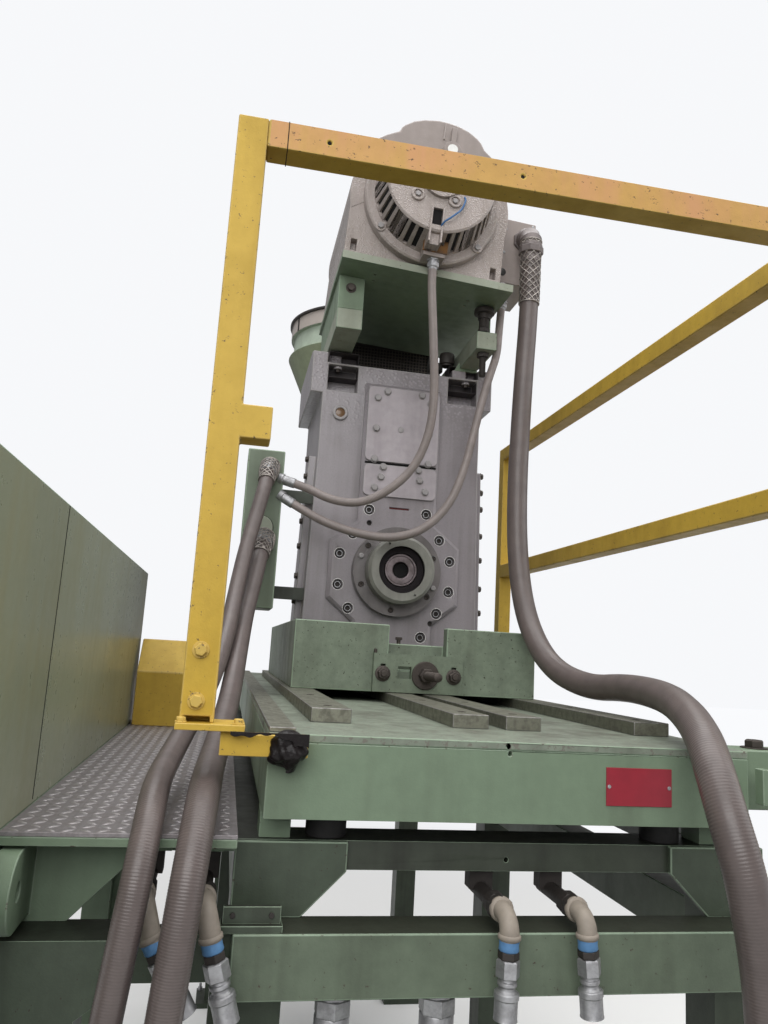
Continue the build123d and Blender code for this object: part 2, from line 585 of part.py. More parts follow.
for a, b in ring_points(0, AXIS_Z, FLANGE_PCD / 2, FLANGE_HOLES):
    flange -= rod_y(a, b, FLANGE_HOLE_R, BARREL_END - 1, OUTLET + 1)
parts["barrel_flange"] = flange
BELT_BACK = GEAR_BACK + BELT_DEEP
BELT_STEP = PLATE_Z + 50
parts["belt_guard"] = prism_x([(GEAR_BACK, BELT_Z0), (BELT_BACK, BELT_Z0), (BELT_BACK, BELT_Z1),
                               (BELT_FRONT, BELT_Z1), (BELT_FRONT, BELT_STEP), (GEAR_BACK, BELT_STEP)],
                              BELT_X0, BELT_X1)

# Junction box beside the gearbox, and the wireway under the table
junction = block(BOX_X0, BOX_X1, BOX_FRONT, BOX_FRONT + BOX_DEEP, BOX_Z0, BOX_Z1)
parts["junction_box"] = junction
WIREWAY_BACK = WIREWAY_FRONT + WIREWAY_DEEP
wireway = block(WIREWAY_X0, WIREWAY_X1, WIREWAY_FRONT, WIREWAY_BACK, WIREWAY_TOP - WIREWAY_HIGH, WIREWAY_TOP)
parts["wireway"] = wireway
brackets = []
for z in (BOX_Z0 + 40, BOX_Z1 - 130):
    arm = block(BOX_X1, -PAD_INNER, BOX_FRONT + BOX_DEEP - 24, BOX_FRONT + BOX_DEEP - 12, z, z + 40)
    brackets.append(arm - housing)
for x in (BASE_LEFT + 15, BASE_RIGHT - LEG + 4):
    brackets.append(block(x, x + 42, WIREWAY_BACK, LEG_FRONT, WIREWAY_TOP - 110, WIREWAY_TOP - 60))
parts["box_brackets"] = Compound(brackets)

# Conduits, each from its box to the next
right_route = [(352, 1040, 2880), (352, 1040, 2700), (330, 1022, 2400), (301, 970, 2020), (299, 925, 1790),
               (306, 850, 1640), (324, 730, 1535), (350, 560, 1496), (358, 380, 1508), (335, 190, 1500),
               (298, 55, 1480), (260, -58, 1447), (236, -124, 1402), (228, -170, 1337), (239, -194, 1261),
               (264, -196, 1120), (276, -184, 960), (277, -181, 850)]
large_route = [(-440, 1105, 1851), (-447, 1050, 1812), (-458, 1010, 1735), (-476, 940, 1640),
               (-487, 820, 1542), (-499, 610, 1440), (-512, 400, 1388), (-522, 220, 1358), (-528, 85, 1346),
               (-530, -10, 1341), (-533, -64, 1317), (-537, -107, 1273), (-542, -129, 1217),
               (-549, -132, 1130), (-558, -129, 1020), (-563, -127, 930), (-564, -126, 850)]
small_route = [(-440, 1105, 2070), (-447, 1060, 2030), (-466, 1025, 1930), (-489, 975, 1820),
               (-507, 905, 1690), (-519, 800, 1575), (-541, 630, 1476), (-570, 440, 1406),
               (-594, 240, 1358), (-603, 75, 1338), (-602, -20, 1330), (-602, -66, 1308),
               (-604, -104, 1270), (-608, -122, 1222), (-617, -126, 1145), (-630, -122, 1030),
               (-636, -124, 940), (-637, -124, 850)]
upper_loop = [(-362, 1150, 2052), (-315, 1138, 2038), (-250, 1104, 2002), (-165, 1072, 1990),
              (-80, 1048, 2032), (-5, 1028, 2110), (32, 1008, 2220), (37, 992, 2335), (22, 970, 2470),
              (6, 950, 2600), (-2, 944, 2680), (-1, 944, 2724)]
lower_loop = [(-362, 1150, 1990), (-315, 1138, 1962), (-245, 1115, 1928), (-155, 1092, 1902),
              (-55, 1072, 1893), (40, 1060, 1925), (118, 1058, 2010), (163, 1066, 2130), (192, 1078, 2255),
              (222, 1097, 2375), (252, 1122, 2470), (284, 1152, 2555), (297, 1180, 2645), (305, 1194, 2708),
              (308, 1196, 2746)]
routes = {"conduit_right": (right_route, CONDUIT_RIGHT),
          "conduit_left_large": (large_route, CONDUIT_LEFT_LARGE),
          "conduit_left_small": (small_route, CONDUIT_LEFT_SMALL),
          "conduit_loop_upper": (upper_loop, CONDUIT_LOOP),
          "conduit_loop_lower": (lower_loop, CONDUIT_LOOP)}
fittings = []
for name, (route, diameter) in routes.items():
    path = conduit(name, route, diameter)
    if name != "conduit_right":
        fittings.append(gland(path @ 0, -(path % 0), diameter, GLAND_LONG) - junction)
    end_gland = gland(path @ 1, path % 1, diameter, GLAND_LONG + 5)
    if name == "conduit_loop_upper":
        end_gland -= parts["motor_bracket"] + tilted(bell)
    elif name == "conduit_loop_lower":
        end_gland -= parts["terminal_box"]
    else:
        end_gland -= wireway
    fittings.append(end_gland)

# Elbow that turns the right conduit into the front of the terminal box
top_x, top_y, top_z = right_route[0]
ELBOW_R = CONDUIT_RIGHT / 2 + GLAND_WALL
ELBOW_BEND = TERM_FRONT - top_y - 10
elbow_face = Pos(top_x, top_y, top_z + 20) * RegularPolygon(ELBOW_R, 12)
bend_axis = Axis((top_x, top_y + ELBOW_BEND, top_z + 20), (-1, 0, 0))
elbow = revolve(elbow_face, axis=bend_axis, revolution_arc=90)
elbow += extrude(Pos(top_x, top_y, top_z) * RegularPolygon(ELBOW_R, 12), amount=20)
hub_face = Plane((top_x, TERM_FRONT, top_z + 20 + ELBOW_BEND), z_dir=(0, -1, 0)) * RegularPolygon(ELBOW_R, 12)
elbow += extrude(hub_face, amount=10)
fittings.append(elbow)
parts["conduit_fittings"] = Compound(fittings)

# Water pipes under the upper frame and the walkway, and the elbows in front of them
RIM_TOP = WALK_Z - WALK_SHEET
RIM_LOW = RIM_TOP - WALK_RIM
FRAME_LOW = RIM_TOP - WALK_FRAME_HIGH
pipes = []
elbows = []
for x in WATER_LEFT_X + WATER_RIGHT_X:
    clamp_top = FRAME_LOW if x in WATER_LEFT_X else UPPER_Z0
    z = clamp_top - WATER_PIPE_R - (13 if x in WATER_LEFT_X else 1)
    back = WATER_FRONT + WATER_LONG
    pipe = barrel_y(x, z, WATER_PIPE_R, WATER_FRONT + 24, back)
    pipe += barrel_y(x, z, WATER_COLLAR_R, WATER_FRONT, WATER_FRONT + 24)
    pipes.append(pipe + block(x - 20, x + 20, back - 40, back - 10, z, clamp_top))
    ring = Plane((x, WATER_FRONT, z), z_dir=(0, -1, 0)) * RegularPolygon(WATER_ELBOW_R, 8)
    arc_axis = Axis((x, WATER_FRONT, z - WATER_BEND), (1, 0, 0))
    bend = revolve(ring, axis=arc_axis, revolution_arc=90)
    low = WATER_FRONT - WATER_BEND
    bend += prism_z(ring_points(x, low, WATER_ELBOW_R, 8), z - WATER_BEND - 30, z - WATER_BEND)
    bend += prism_z(ring_points(x, low, WATER_ELBOW_R - 2, 6), z - WATER_BEND - 70, z - WATER_BEND - 30)
    bend += prism_z(ring_points(x, low, WATER_ELBOW_R - 5, 8), z - WATER_BEND - 125, z - WATER_BEND - 70)
    elbows.append(bend)
parts["water_pipes"] = Compound(pipes)
parts["water_elbows"] = Compound(elbows)

# Guard
HT = TUBE / 2
post = block(POST_X - HT, POST_X + HT, POST_Y - HT, POST_Y + HT, TABLE_TOP + 14, POST_TOP)
post += block(POST_X + HT, POST_X + HT + 48, POST_Y - HT, POST_Y + HT, LOW_RAIL_Z - 36, LOW_RAIL_Z + 19)
parts["guard_front_post"] = post
foot = block(POST_X - 30, POST_X + 72, POST_Y - 42, POST_Y + 42, TABLE_TOP + 4, TABLE_TOP + 14)
foot += block(POST_X + 37, POST_X + 169, POST_Y - HT, 0, TABLE_TOP - 52, TABLE_TOP)
foot += block(POST_X + 37, POST_X + 72, POST_Y - HT, 0, TABLE_TOP, TABLE_TOP + 4)
parts["guard_foot_bracket"] = foot
parts["guard_top_rail"] = block(POST_X + HT, GUARD_RIGHT + HT, POST_Y - HT, POST_Y + HT,
                                POST_TOP - TUBE, POST_TOP)
side_rails = []
for z in (POST_TOP - TUBE, LOW_RAIL_Z - HT):
    side_rails.append(block(GUARD_RIGHT - HT, GUARD_RIGHT + HT, POST_Y + HT, GUARD_BACK, z, z + TUBE))
parts["guard_side_rails"] = Compound(side_rails)
back_post = block(GUARD_RIGHT - HT, GUARD_RIGHT + HT, GUARD_BACK, GUARD_BACK + TUBE, 0, POST_TOP)
right_post = block(GUARD_RIGHT - HT, GUARD_RIGHT + HT, POST_Y - HT, POST_Y + HT, 0, POST_TOP - TUBE)
parts["guard_right_posts"] = Compound([back_post, right_post])
parts["guard_outrigger"] = block(TABLE_RIGHT, GUARD_RIGHT - HT, 20, 100, TABLE_TOP - 100, TABLE_TOP) + block(
    GUARD_RIGHT - HT - 30, GUARD_RIGHT - HT, POST_Y - HT, 20, TABLE_TOP - 100, TABLE_TOP)

# Walkway and cabinet
parts["walkway_plate"] = block(WALK_LEFT, WALK_RIGHT, WALK_FRONT, WALK_BACK, RIM_TOP, WALK_Z)
walk = block(WALK_LEFT, WALK_RIGHT, WALK_FRONT, WALK_BACK, FRAME_LOW, RIM_TOP)
walk -= block(WALK_LEFT + WALK_BAR, WALK_RIGHT - WALK_BAR, SIDE_LEG_BACK + WALK_BAR, WALK_BACK - WALK_BAR,
              FRAME_LOW - 1, RIM_TOP + 1)
walk -= block(WALK_LEFT - 1, WALK_RIGHT + 1, WALK_FRONT - 1, SIDE_LEG_BACK, FRAME_LOW - 1, RIM_LOW)
walk += block(WALK_LEFT, WALK_LEFT + 44, WALK_BACK - 100, WALK_BACK - 40, 0, FRAME_LOW)
parts["walkway_frame"] = walk
PLATE_Y0 = SIDE_LEG_BACK - 12
bracket = prism_y([(WALK_LEFT + 10, BEAM_LOW_Z1), (WALK_LEFT + 88, BEAM_LOW_Z1),
                   (WALK_LEFT + 166, RIM_LOW - 45), (WALK_LEFT + 166, RIM_LOW), (WALK_LEFT + 10, RIM_LOW)],
                  PLATE_Y0, SIDE_LEG_BACK)
LUG_X0 = WALK_LEFT + 5
LUG_Z = RIM_LOW - 4 - LUG_R
LUG_Y = WALK_FRONT
lug = block(LUG_X0, LUG_X0 + LUG_THICK, LUG_Y, PLATE_Y0, LUG_Z - LUG_R, LUG_Z + LUG_R)
lug += rod_x(LUG_Y, LUG_Z, LUG_R, LUG_X0, LUG_X0 + LUG_THICK)
lug -= rod_x(LUG_Y, LUG_Z, LUG_HOLE_R, LUG_X0 - 1, LUG_X0 + LUG_THICK + 1)
parts["walkway_bracket"] = bracket + lug
parts["cabinet_body"] = block(CAB_X0, WALK_LEFT, CAB_Y0, CAB_Y1, WALK_Z, CAB_TOP)
stand = block(CAB_X0, WALK_LEFT, CAB_Y0, CAB_Y1, 0, WALK_Z)
stand -= block(CAB_X0 + CAB_LEG, WALK_LEFT - CAB_LEG, CAB_Y0 - 1, CAB_Y1 + 1, -1, WALK_Z - CAB_LEG)
stand -= block(CAB_X0 - 1, WALK_LEFT + 1, CAB_Y0 + CAB_LEG, CAB_Y1 - CAB_LEG, -1, WALK_Z - CAB_LEG)
parts["cabinet_stand"] = stand
parts["yellow_box"] = block(WALK_LEFT + 10, WALK_LEFT + 190, WALK_BACK - 180, WALK_BACK - 20,
                            WALK_Z, WALK_Z + YELLOW_BOX_HIGH)

# Place: the middle of the whole footprint, on the floor
boxes = [shape.bounding_box() for shape in parts.values()]
MID_X = (min(b.min.X for b in boxes) + max(b.max.X for b in boxes)) / 2
MID_Y = (min(b.min.Y for b in boxes) + max(b.max.Y for b in boxes)) / 2
shift = Pos(-MID_X, -MID_Y, 0)
os.makedirs("parts", exist_ok=True)
for name, shape in parts.items():
    export_step(shift * shape, "parts/" + name + ".step")
print("middle", MID_X, MID_Y, "nodes", len(parts))
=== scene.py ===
import sys
import math

import bmesh
import bpy
from mathutils import Matrix, Vector


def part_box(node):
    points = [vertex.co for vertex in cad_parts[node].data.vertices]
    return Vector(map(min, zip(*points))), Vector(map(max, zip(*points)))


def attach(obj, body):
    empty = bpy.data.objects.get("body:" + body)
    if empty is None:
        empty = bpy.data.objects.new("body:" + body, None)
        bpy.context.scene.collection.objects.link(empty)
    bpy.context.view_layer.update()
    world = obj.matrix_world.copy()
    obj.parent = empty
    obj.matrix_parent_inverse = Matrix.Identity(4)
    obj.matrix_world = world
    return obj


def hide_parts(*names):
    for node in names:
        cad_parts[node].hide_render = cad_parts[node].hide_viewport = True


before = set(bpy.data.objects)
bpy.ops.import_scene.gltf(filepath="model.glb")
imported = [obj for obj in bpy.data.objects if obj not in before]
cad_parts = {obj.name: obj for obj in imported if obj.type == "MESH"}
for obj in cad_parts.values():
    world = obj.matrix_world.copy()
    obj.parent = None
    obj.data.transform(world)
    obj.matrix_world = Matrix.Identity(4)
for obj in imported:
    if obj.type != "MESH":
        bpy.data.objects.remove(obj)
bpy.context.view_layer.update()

# Places are in millimetres of the machine: across from the screw axis, back from the
# table's front face and up from the floor.
MM = 0.001
TABLE_LEFT = -441.0
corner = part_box("table_frame")[0]
ORIGIN = Vector((corner.x - TABLE_LEFT * MM, corner.y, 0))
TO_ROW = Matrix.Translation(ORIGIN) @ Matrix.Scale(MM, 4)
TO_MACHINE = TO_ROW.inverted()

# The motor stands on a plate that is hinged on the left and jacked down on the right
PLATE_UP = 2724.0
PLATE_TILT = math.radians(3.7)
ON_PLATE = Matrix.Translation((0, 0, PLATE_UP)) @ Matrix.Rotation(PLATE_TILT, 4, "Y")

AXIS_UP = 1811.0
FRONTWARD = Vector((0, -1, 0))
BACKWARD = Vector((0, 1, 0))
UPWARD = Vector((0, 0, 1))
DOWNWARD = Vector((0, 0, -1))

# Edges that bend less than the first angle are smooth, and those past the second are rounded
SMOOTH_TO = 32.0
ROUNDED_FROM = 38.0
WASHER_HIGH = 2.2

# Points of a node this near (in metres) are one, and faces that bend less than this are one
SAME_SPOT = 0.00002
FLAT_TO = 0.6


def corners(node):
    """The lowest and highest corner of a node, in millimetres of the machine."""
    low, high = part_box(node)
    return TO_MACHINE @ low, TO_MACHINE @ high


def facing(point, direction, turn):
    """A place whose own height runs along a direction, for bolts and other turned parts."""
    lean = Vector(direction).to_track_quat("Z", "Y").to_matrix().to_4x4()
    return Matrix.Translation(point) @ lean @ Matrix.Rotation(turn, 4, "Z")


def linear(red, green, blue):
    """A colour given as it looks on a screen, from 0 to 255, as light."""
    parts = []
    for part in (red, green, blue):
        part /= 255
        parts.append(part / 12.92 if part <= 0.04045 else ((part + 0.055) / 1.055) ** 2.4)
    return (*parts, 1.0)


class Value:
    """A shader number that takes Python's operators, each of which adds one Math node."""

    def __init__(self, finish, socket):
        self.finish = finish
        self.socket = socket

    def maths(self, operation, first, second):
        return self.finish.node("ShaderNodeMath", {"operation": operation}, {0: first, 1: second})

    def __add__(self, other):
        return self.maths("ADD", self, other)

    def __sub__(self, other):
        return self.maths("SUBTRACT", self, other)

    def __rsub__(self, other):
        return self.maths("SUBTRACT", other, self)

    def __mul__(self, other):
        return self.maths("MULTIPLY", self, other)

    def above(self, edge, soft):
        """0 below an edge and 1 above it, with a soft step between."""
        return self.finish.node("ShaderNodeMapRange", {"interpolation_type": "SMOOTHSTEP"},
                                {"Value": self, "From Min": edge - soft, "From Max": edge + soft})

    __radd__ = __add__
    __rmul__ = __mul__


class Finish:
    """One material, with nodes that are added by short calls."""

    def __init__(self, name, roughness, metallic=0.0):
        self.material = bpy.data.materials.new(name)
        self.material.use_nodes = True
        self.tree = self.material.node_tree
        self.shader = self.tree.nodes["Principled BSDF"]
        self.shader.inputs["Roughness"].default_value = roughness
        self.shader.inputs["Metallic"].default_value = metallic
        self.place = self.node("ShaderNodeTexCoord", output="Object")

    def node(self, kind, settings=None, sockets=None, output=0):
        node = self.tree.nodes.new(kind)
        for name, setting in (settings or {}).items():
            setattr(node, name, setting)
        for name, value in (sockets or {}).items():
            self.feed(node.inputs[name], value)
        return Value(self, node.outputs[output])

    def feed(self, socket, value):
        if isinstance(value, Value):
            self.tree.links.new(value.socket, socket)
        else:
            socket.default_value = value

    def stretched(self, across, back, up):
        """The place on the object, with its three directions scaled apart."""
        return self.node("ShaderNodeVectorMath", {"operation": "MULTIPLY"},
                         {0: self.place, 1: (across, back, up)})

    def noise(self, size, detail=3.0, rough=0.55, stretch=None):
        """A cloudy value from 0 to 1 whose blots are about this many millimetres wide."""
        place = self.stretched(*stretch) if stretch else self.place
        return self.node("ShaderNodeTexNoise", {"normalize": True},
                         {"Vector": place, "Scale": 1000 / size, "Detail": detail, "Roughness": rough})

    def cells(self, size):
        """The distance to scattered points that lie about this many millimetres apart."""
        sockets = {"Vector": self.place, "Scale": 1000 / size}
        return self.node("ShaderNodeTexVoronoi", None, sockets, output="Distance")

    def height(self):
        """How high a point is over the floor, in metres."""
        return self.node("ShaderNodeSeparateXYZ", None, {0: self.place}, output="Z")

    def upward(self):
        """1 on faces that look up, 0 on upright ones, -1 below."""
        normal = self.node("ShaderNodeNewGeometry", output="True Normal")
        return self.node("ShaderNodeSeparateXYZ", None, {0: normal}, output="Z")

    def mix(self, mask, under, over):
        """One colour over another where the mask is 1."""
        return self.node("ShaderNodeMix", {"data_type": "RGBA"}, {0: mask, 6: under, 7: over}, output=2)

    def bump(self, height, distance):
        """A relief whose height of 1 stands this many millimetres out."""
        return self.node("ShaderNodeBump", None, {"Height": height, "Distance": distance * MM})

    def set(self, **sockets):
        names = {"colour": "Base Color", "roughness": "Roughness", "metallic": "Metallic",
                 "normal": "Normal", "glow": "Emission Color"}
        for name, value in sockets.items():
            self.feed(self.shader.inputs[names[name]], value)
        return self.material


class Shape:
    """Points and faces in millimetres of the machine, which become one piece."""

    def __init__(self, where=None):
        self.points = []
        self.faces = []
        self.where = where or Matrix()
        self.ground = self.where.copy()

    def put(self, points, faces):
        start = len(self.points)
        self.points += [self.where @ Vector(point) for point in points]
        self.faces += [[start + k for k in face] for face in faces]
        return self

    def block(self, x0, x1, y0, y1, z0, z1):
        points = [(x, y, z) for z in (z0, z1) for y in (y0, y1) for x in (x0, x1)]
        return self.put(points, [(0, 2, 3, 1), (4, 5, 7, 6), (0, 1, 5, 4),
                                 (2, 6, 7, 3), (0, 4, 6, 2), (1, 3, 7, 5)])

    def slab(self, outline, low, high, along):
        """An outline carried along x or y; the outline is in the other two directions."""
        order = {"x": (2, 0, 1), "y": (0, 2, 1)}[along]
        count = len(outline)
        points = []
        for level in (low, high):
            for a, b in outline:
                points.append(tuple((a, b, level)[k] for k in order))
        sides = [(k, (k + 1) % count, count + (k + 1) % count, count + k) for k in range(count)]
        return self.put(points, sides + [tuple(range(count)), tuple(range(count, 2 * count))])

    def turned(self, profile, sides, closed=False):
        """A turned part about its own height, from (radius, height) points. It is solid from
        end to end, or a ring where the profile closes on itself."""
        points = []
        for radius, height in profile:
            for k in range(sides):
                angle = math.tau * (k + 0.5) / sides
                points.append((radius * math.cos(angle), radius * math.sin(angle), height))
        rows = len(profile)
        faces = []
        for row in range(rows if closed else rows - 1):
            after = (row + 1) % rows
            for k in range(sides):
                near, far = k, (k + 1) % sides
                faces.append((row * sides + near, row * sides + far,
                              after * sides + far, after * sides + near))
        if not closed:
            faces.append(tuple(range(sides)))
            faces.append(tuple((rows - 1) * sides + k for k in range(sides)))
        return self.put(points, faces)

    def at(self, point, direction, turn=0.0):
        """The next parts are given with their height along this direction from this point."""
        self.where = self.ground @ facing(point, direction, turn)
        return self

    def home(self):
        self.where = self.ground
        return self

    def spin(self, point, direction, *parts, turn=0.0):
        """Turned parts that stand on this point, each given as its sides and its profile."""
        self.at(point, direction, turn)
        for sides, *profile in parts:
            self.turned(profile, sides)
        return self.home()

    def rod(self, point, direction, radius, length, sides):
        """A round bar that stands on this point."""
        return self.spin(point, direction, (sides, (radius, 0), (radius, length)))

    def ring(self, point, direction, sides, *profile):
        """A turned ring that stands on this point."""
        return self.at(point, direction).turned(profile, sides, closed=True).home()

    def bar(self, half, start, end):
        """A square bar between two points that differ in one direction only."""
        spans = [(a, b) if a != b else (a - half, a + half) for a, b in zip(start, end)]
        return self.block(*spans[0], *spans[1], *spans[2])

    def bolt(self, point, direction, across, high, washer=0.0, turn=0.3):
        """A hexagon head this wide across its corners, on a washer if that has a radius."""
        self.at(point, direction, turn)
        start = 0.0
        if washer:
            start = WASHER_HIGH
            self.turned([(washer, 0), (washer, start)], 24)
        radius = across / 2
        self.turned([(radius, start), (radius, start + high * 0.82), (radius * 0.86, start + high)], 6)
        return self.home()

    def socket_screw(self, point, direction, radius, high):
        """A round head with a dark hexagon socket."""
        inner = radius * 0.52
        return self.spin(point, direction, (18, (radius, 0), (radius, high * 0.9), (radius * 0.93, high),
                                            (inner, high), (inner, high * 0.35)))

    def tube(self, path, radius, sides):
        """A round bar along points. The radius may be a list, one for each point."""
        radii = radius if isinstance(radius, list) else [radius] * len(path)
        path = [Vector(point) for point in path]
        ahead = (path[1] - path[0]).normalized()
        side = ahead.orthogonal().normalized()
        points = []
        for k, here in enumerate(path):
            run = path[min(k + 1, len(path) - 1)] - path[max(k - 1, 0)]
            turn = ahead.rotation_difference(run.normalized())
            side = turn @ side
            ahead = run.normalized()
            other = ahead.cross(side)
            for j in range(sides):
                angle = math.tau * j / sides
                points.append(here + radii[k] * (math.cos(angle) * side + math.sin(angle) * other))
        faces = []
        for k in range(len(path) - 1):
            for j in range(sides):
                far = (j + 1) % sides
                faces.append((k * sides + j, k * sides + far, (k + 1) * sides + far, (k + 1) * sides + j))
        faces.append(tuple(range(sides)))
        faces.append(tuple((len(path) - 1) * sides + j for j in range(sides)))
        return self.put(points, faces)

    def mesh(self, name):
        made = bpy.data.meshes.new(name)
        made.from_pydata([TO_ROW @ point for point in self.points], [], self.faces)
        work = bmesh.new()
        work.from_mesh(made)
        bmesh.ops.recalc_face_normals(work, faces=work.faces)
        work.to_mesh(made)
        work.free()
        return made


def settle(piece, finish, rounding, slot=None, worn=None, body="frame", replaced=(), smooth=SMOOTH_TO):
    """Gives a piece its finish and rounded edges and lets it ride on its body."""
    mesh = piece.data
    mesh.materials.clear()
    mesh.materials.append(finish)
    mesh.shade_smooth()
    mesh.set_sharp_from_angle(angle=math.radians(smooth))
    if rounding:
        edges = piece.modifiers.new("rounded edges", "BEVEL")
        edges.width = rounding * MM
        edges.segments = 2
        edges.limit_method = "ANGLE"
        edges.angle_limit = math.radians(ROUNDED_FROM)
        edges.harden_normals = True
        if worn:
            mesh.materials.append(worn)
            edges.material = len(mesh.materials) - 1
    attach(piece, body)
    if replaced:
        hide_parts(*replaced)
    return piece


def carve(piece, cutter):
    """Cuts a shape out of a piece."""
    tool = bpy.data.objects.new("cutter", cutter.mesh("cutter"))
    bpy.context.scene.collection.objects.link(tool)
    cut = piece.modifiers.new("cut", "BOOLEAN")
    cut.operation = "DIFFERENCE"
    cut.solver = "EXACT"
    cut.object = tool
    cut.use_self = True
    shapes = bpy.context.evaluated_depsgraph_get()
    made = bpy.data.meshes.new_from_object(piece.evaluated_get(shapes))
    if not made.vertices:
        sys.exit("a cut left nothing of " + piece.name)
    piece.modifiers.remove(cut)
    piece.data = made
    bpy.data.objects.remove(tool)


def place_mesh(name, mesh, cutter):
    piece = bpy.data.objects.new(name, mesh)
    bpy.context.scene.collection.objects.link(piece)
    if cutter:
        carve(piece, cutter)
    return piece


def make(name, shape, finish, rounding, slot=None, cutter=None, **more):
    """A piece made of a shape."""
    return settle(place_mesh(name, shape.mesh(name), cutter), finish, rounding, slot, **more)


def dress(node, finish, rounding, cutter=None, worn=None, body="frame", chamfer=None):
    """A piece with the shape of a node, its edges rounded and its finish on it. A chamfer is a
    width and a test that says which edges get it, from an edge's middle and its run from front
    to back. The rounded edges are worn as is usual for the finish's slot, or not if worn is False."""
    work = bmesh.new()
    work.from_mesh(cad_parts[node].data)
    bmesh.ops.remove_doubles(work, verts=work.verts, dist=SAME_SPOT)
    bmesh.ops.dissolve_limit(work, angle_limit=math.radians(FLAT_TO), verts=work.verts, edges=work.edges)
    if chamfer:
        width, wanted = chamfer
        chosen = []
        for edge in work.edges:
            start, end = (vertex.co for vertex in edge.verts)
            if wanted(TO_MACHINE @ ((start + end) / 2), abs((start - end).y)):
                chosen.append(edge)
        bmesh.ops.bevel(work, geom=chosen, offset=width * MM, segments=1, affect="EDGES")
    made = bpy.data.meshes.new(node)
    work.to_mesh(made)
    work.free()
    piece = place_mesh(node + "_dressed", made, cutter)
    if worn is None:
        worn = WORN_EDGE.get(SLOT_OF[finish.name])
    return settle(piece, finish, rounding, worn=worn, body=body, replaced=(node,))


# Camera, fitted to the photograph: its place, and where right and down point
FOCAL = 794.32
CAMERA_PLACE = (-517.44, -1275.12, 1552.0)
PICTURE_RIGHT = Vector((0.97980672, -0.19132169, 0.05809301))
PICTURE_DOWN = Vector((0.08951005, 0.15990505, -0.98306578))
PICTURE_HIGH = 1024
SENSOR = 36.0
SEE_TO = 100


def make_camera():
    data = bpy.data.cameras.new("camera")
    camera = bpy.data.objects.new("camera", data)
    bpy.context.scene.collection.objects.link(camera)
    ahead = PICTURE_RIGHT.cross(PICTURE_DOWN)
    turn = Matrix((PICTURE_RIGHT, -PICTURE_DOWN, -ahead)).transposed().to_4x4()
    turn.translation = TO_ROW @ Vector(CAMERA_PLACE)
    camera.matrix_world = turn
    data.sensor_fit = "VERTICAL"
    data.sensor_height = SENSOR
    data.lens = SENSOR * FOCAL / PICTURE_HIGH
    data.clip_end = SEE_TO
    data.dof.use_dof = False
    bpy.context.scene.camera = camera


def make_lamp(name, place, target, size, power):
    data = bpy.data.lights.new(name, "AREA")
    data.shape = "RECTANGLE"
    data.size, data.size_y = size
    data.energy = power
    lamp = bpy.data.objects.new(name, data)
    bpy.context.scene.collection.objects.link(lamp)
    place, target = TO_ROW @ Vector(place), TO_ROW @ Vector(target)
    aim = (target - place).to_track_quat("-Z", "Y").to_matrix().to_4x4()
    lamp.matrix_world = Matrix.Translation(place) @ aim


def seen_directly(finish):
    """1 for what the camera sees itself, in a mirror or through glass, else 0."""
    def ray(name):
        return finish.node("ShaderNodeLightPath", output=name)
    seen = ray("Is Camera Ray") + ray("Is Glossy Ray") + ray("Is Transmission Ray")
    return seen.above(0.5, 0.01)


PAPER = (0.93, 0.94, 0.96, 1)
BLACK = (0, 0, 0, 1)
FLOOR_NEAR = 2.6
FLOOR_FAR = 6.0
FLOOR_REACH = 30.0


def make_floor():
    """A pale floor that keeps the shadow near the object and turns to paper far away."""
    pale = Finish("pale_floor", roughness=0.9)
    seen = seen_directly(pale)
    far = pale.node("ShaderNodeVectorMath", {"operation": "LENGTH"}, {0: pale.place}, output="Value")
    paper = far.above((FLOOR_NEAR + FLOOR_FAR) / 2, (FLOOR_FAR - FLOOR_NEAR) / 2)
    colour = pale.mix(seen, linear(84, 84, 86), linear(236, 236, 234))
    pale.set(colour=pale.mix(paper * seen, colour, BLACK), glow=pale.mix(paper * seen, BLACK, PAPER))
    pale.shader.inputs["Emission Strength"].default_value = 1.0
    mesh = bpy.data.meshes.new("floor")
    signs = ((-1, -1), (1, -1), (1, 1), (-1, 1))
    mesh.from_pydata([(a * FLOOR_REACH, b * FLOOR_REACH, 0) for a, b in signs], [], [(0, 1, 2, 3)])
    mesh.materials.append(pale.material)
    floor = bpy.data.objects.new("floor", mesh)
    bpy.context.scene.collection.objects.link(floor)


def make_light():
    world = bpy.data.worlds.new("studio")
    bpy.context.scene.world = world
    world.use_nodes = True
    tree = world.node_tree
    paper = tree.nodes["Background"]
    paper.inputs["Color"].default_value = PAPER
    paper.inputs["Strength"].default_value = 1.0
    light = tree.nodes.new("ShaderNodeBackground")
    light.inputs["Color"].default_value = (0.97, 0.97, 1.0, 1)
    light.inputs["Strength"].default_value = 0.30
    rays = tree.nodes.new("ShaderNodeLightPath")
    both = tree.nodes.new("ShaderNodeMath")
    both.operation = "MAXIMUM"
    tree.links.new(rays.outputs["Is Camera Ray"], both.inputs[0])
    tree.links.new(rays.outputs["Is Transmission Ray"], both.inputs[1])
    mix = tree.nodes.new("ShaderNodeMixShader")
    tree.links.new(both.outputs[0], mix.inputs[0])
    tree.links.new(light.outputs[0], mix.inputs[1])
    tree.links.new(paper.outputs[0], mix.inputs[2])
    tree.links.new(mix.outputs[0], tree.nodes["World Output"].inputs["Surface"])
    make_lamp("ceiling", (0, 900, 6200), (0, 900, 0), (6.0, 7.0), 385)
    make_lamp("front", (-1500, -3800, 3600), (0, 600, 1700), (4.0, 3.0), 165)
    make_lamp("side", (3800, -400, 3600), (-600, 600, 1400), (4.0, 4.0), 70)


# Finishes

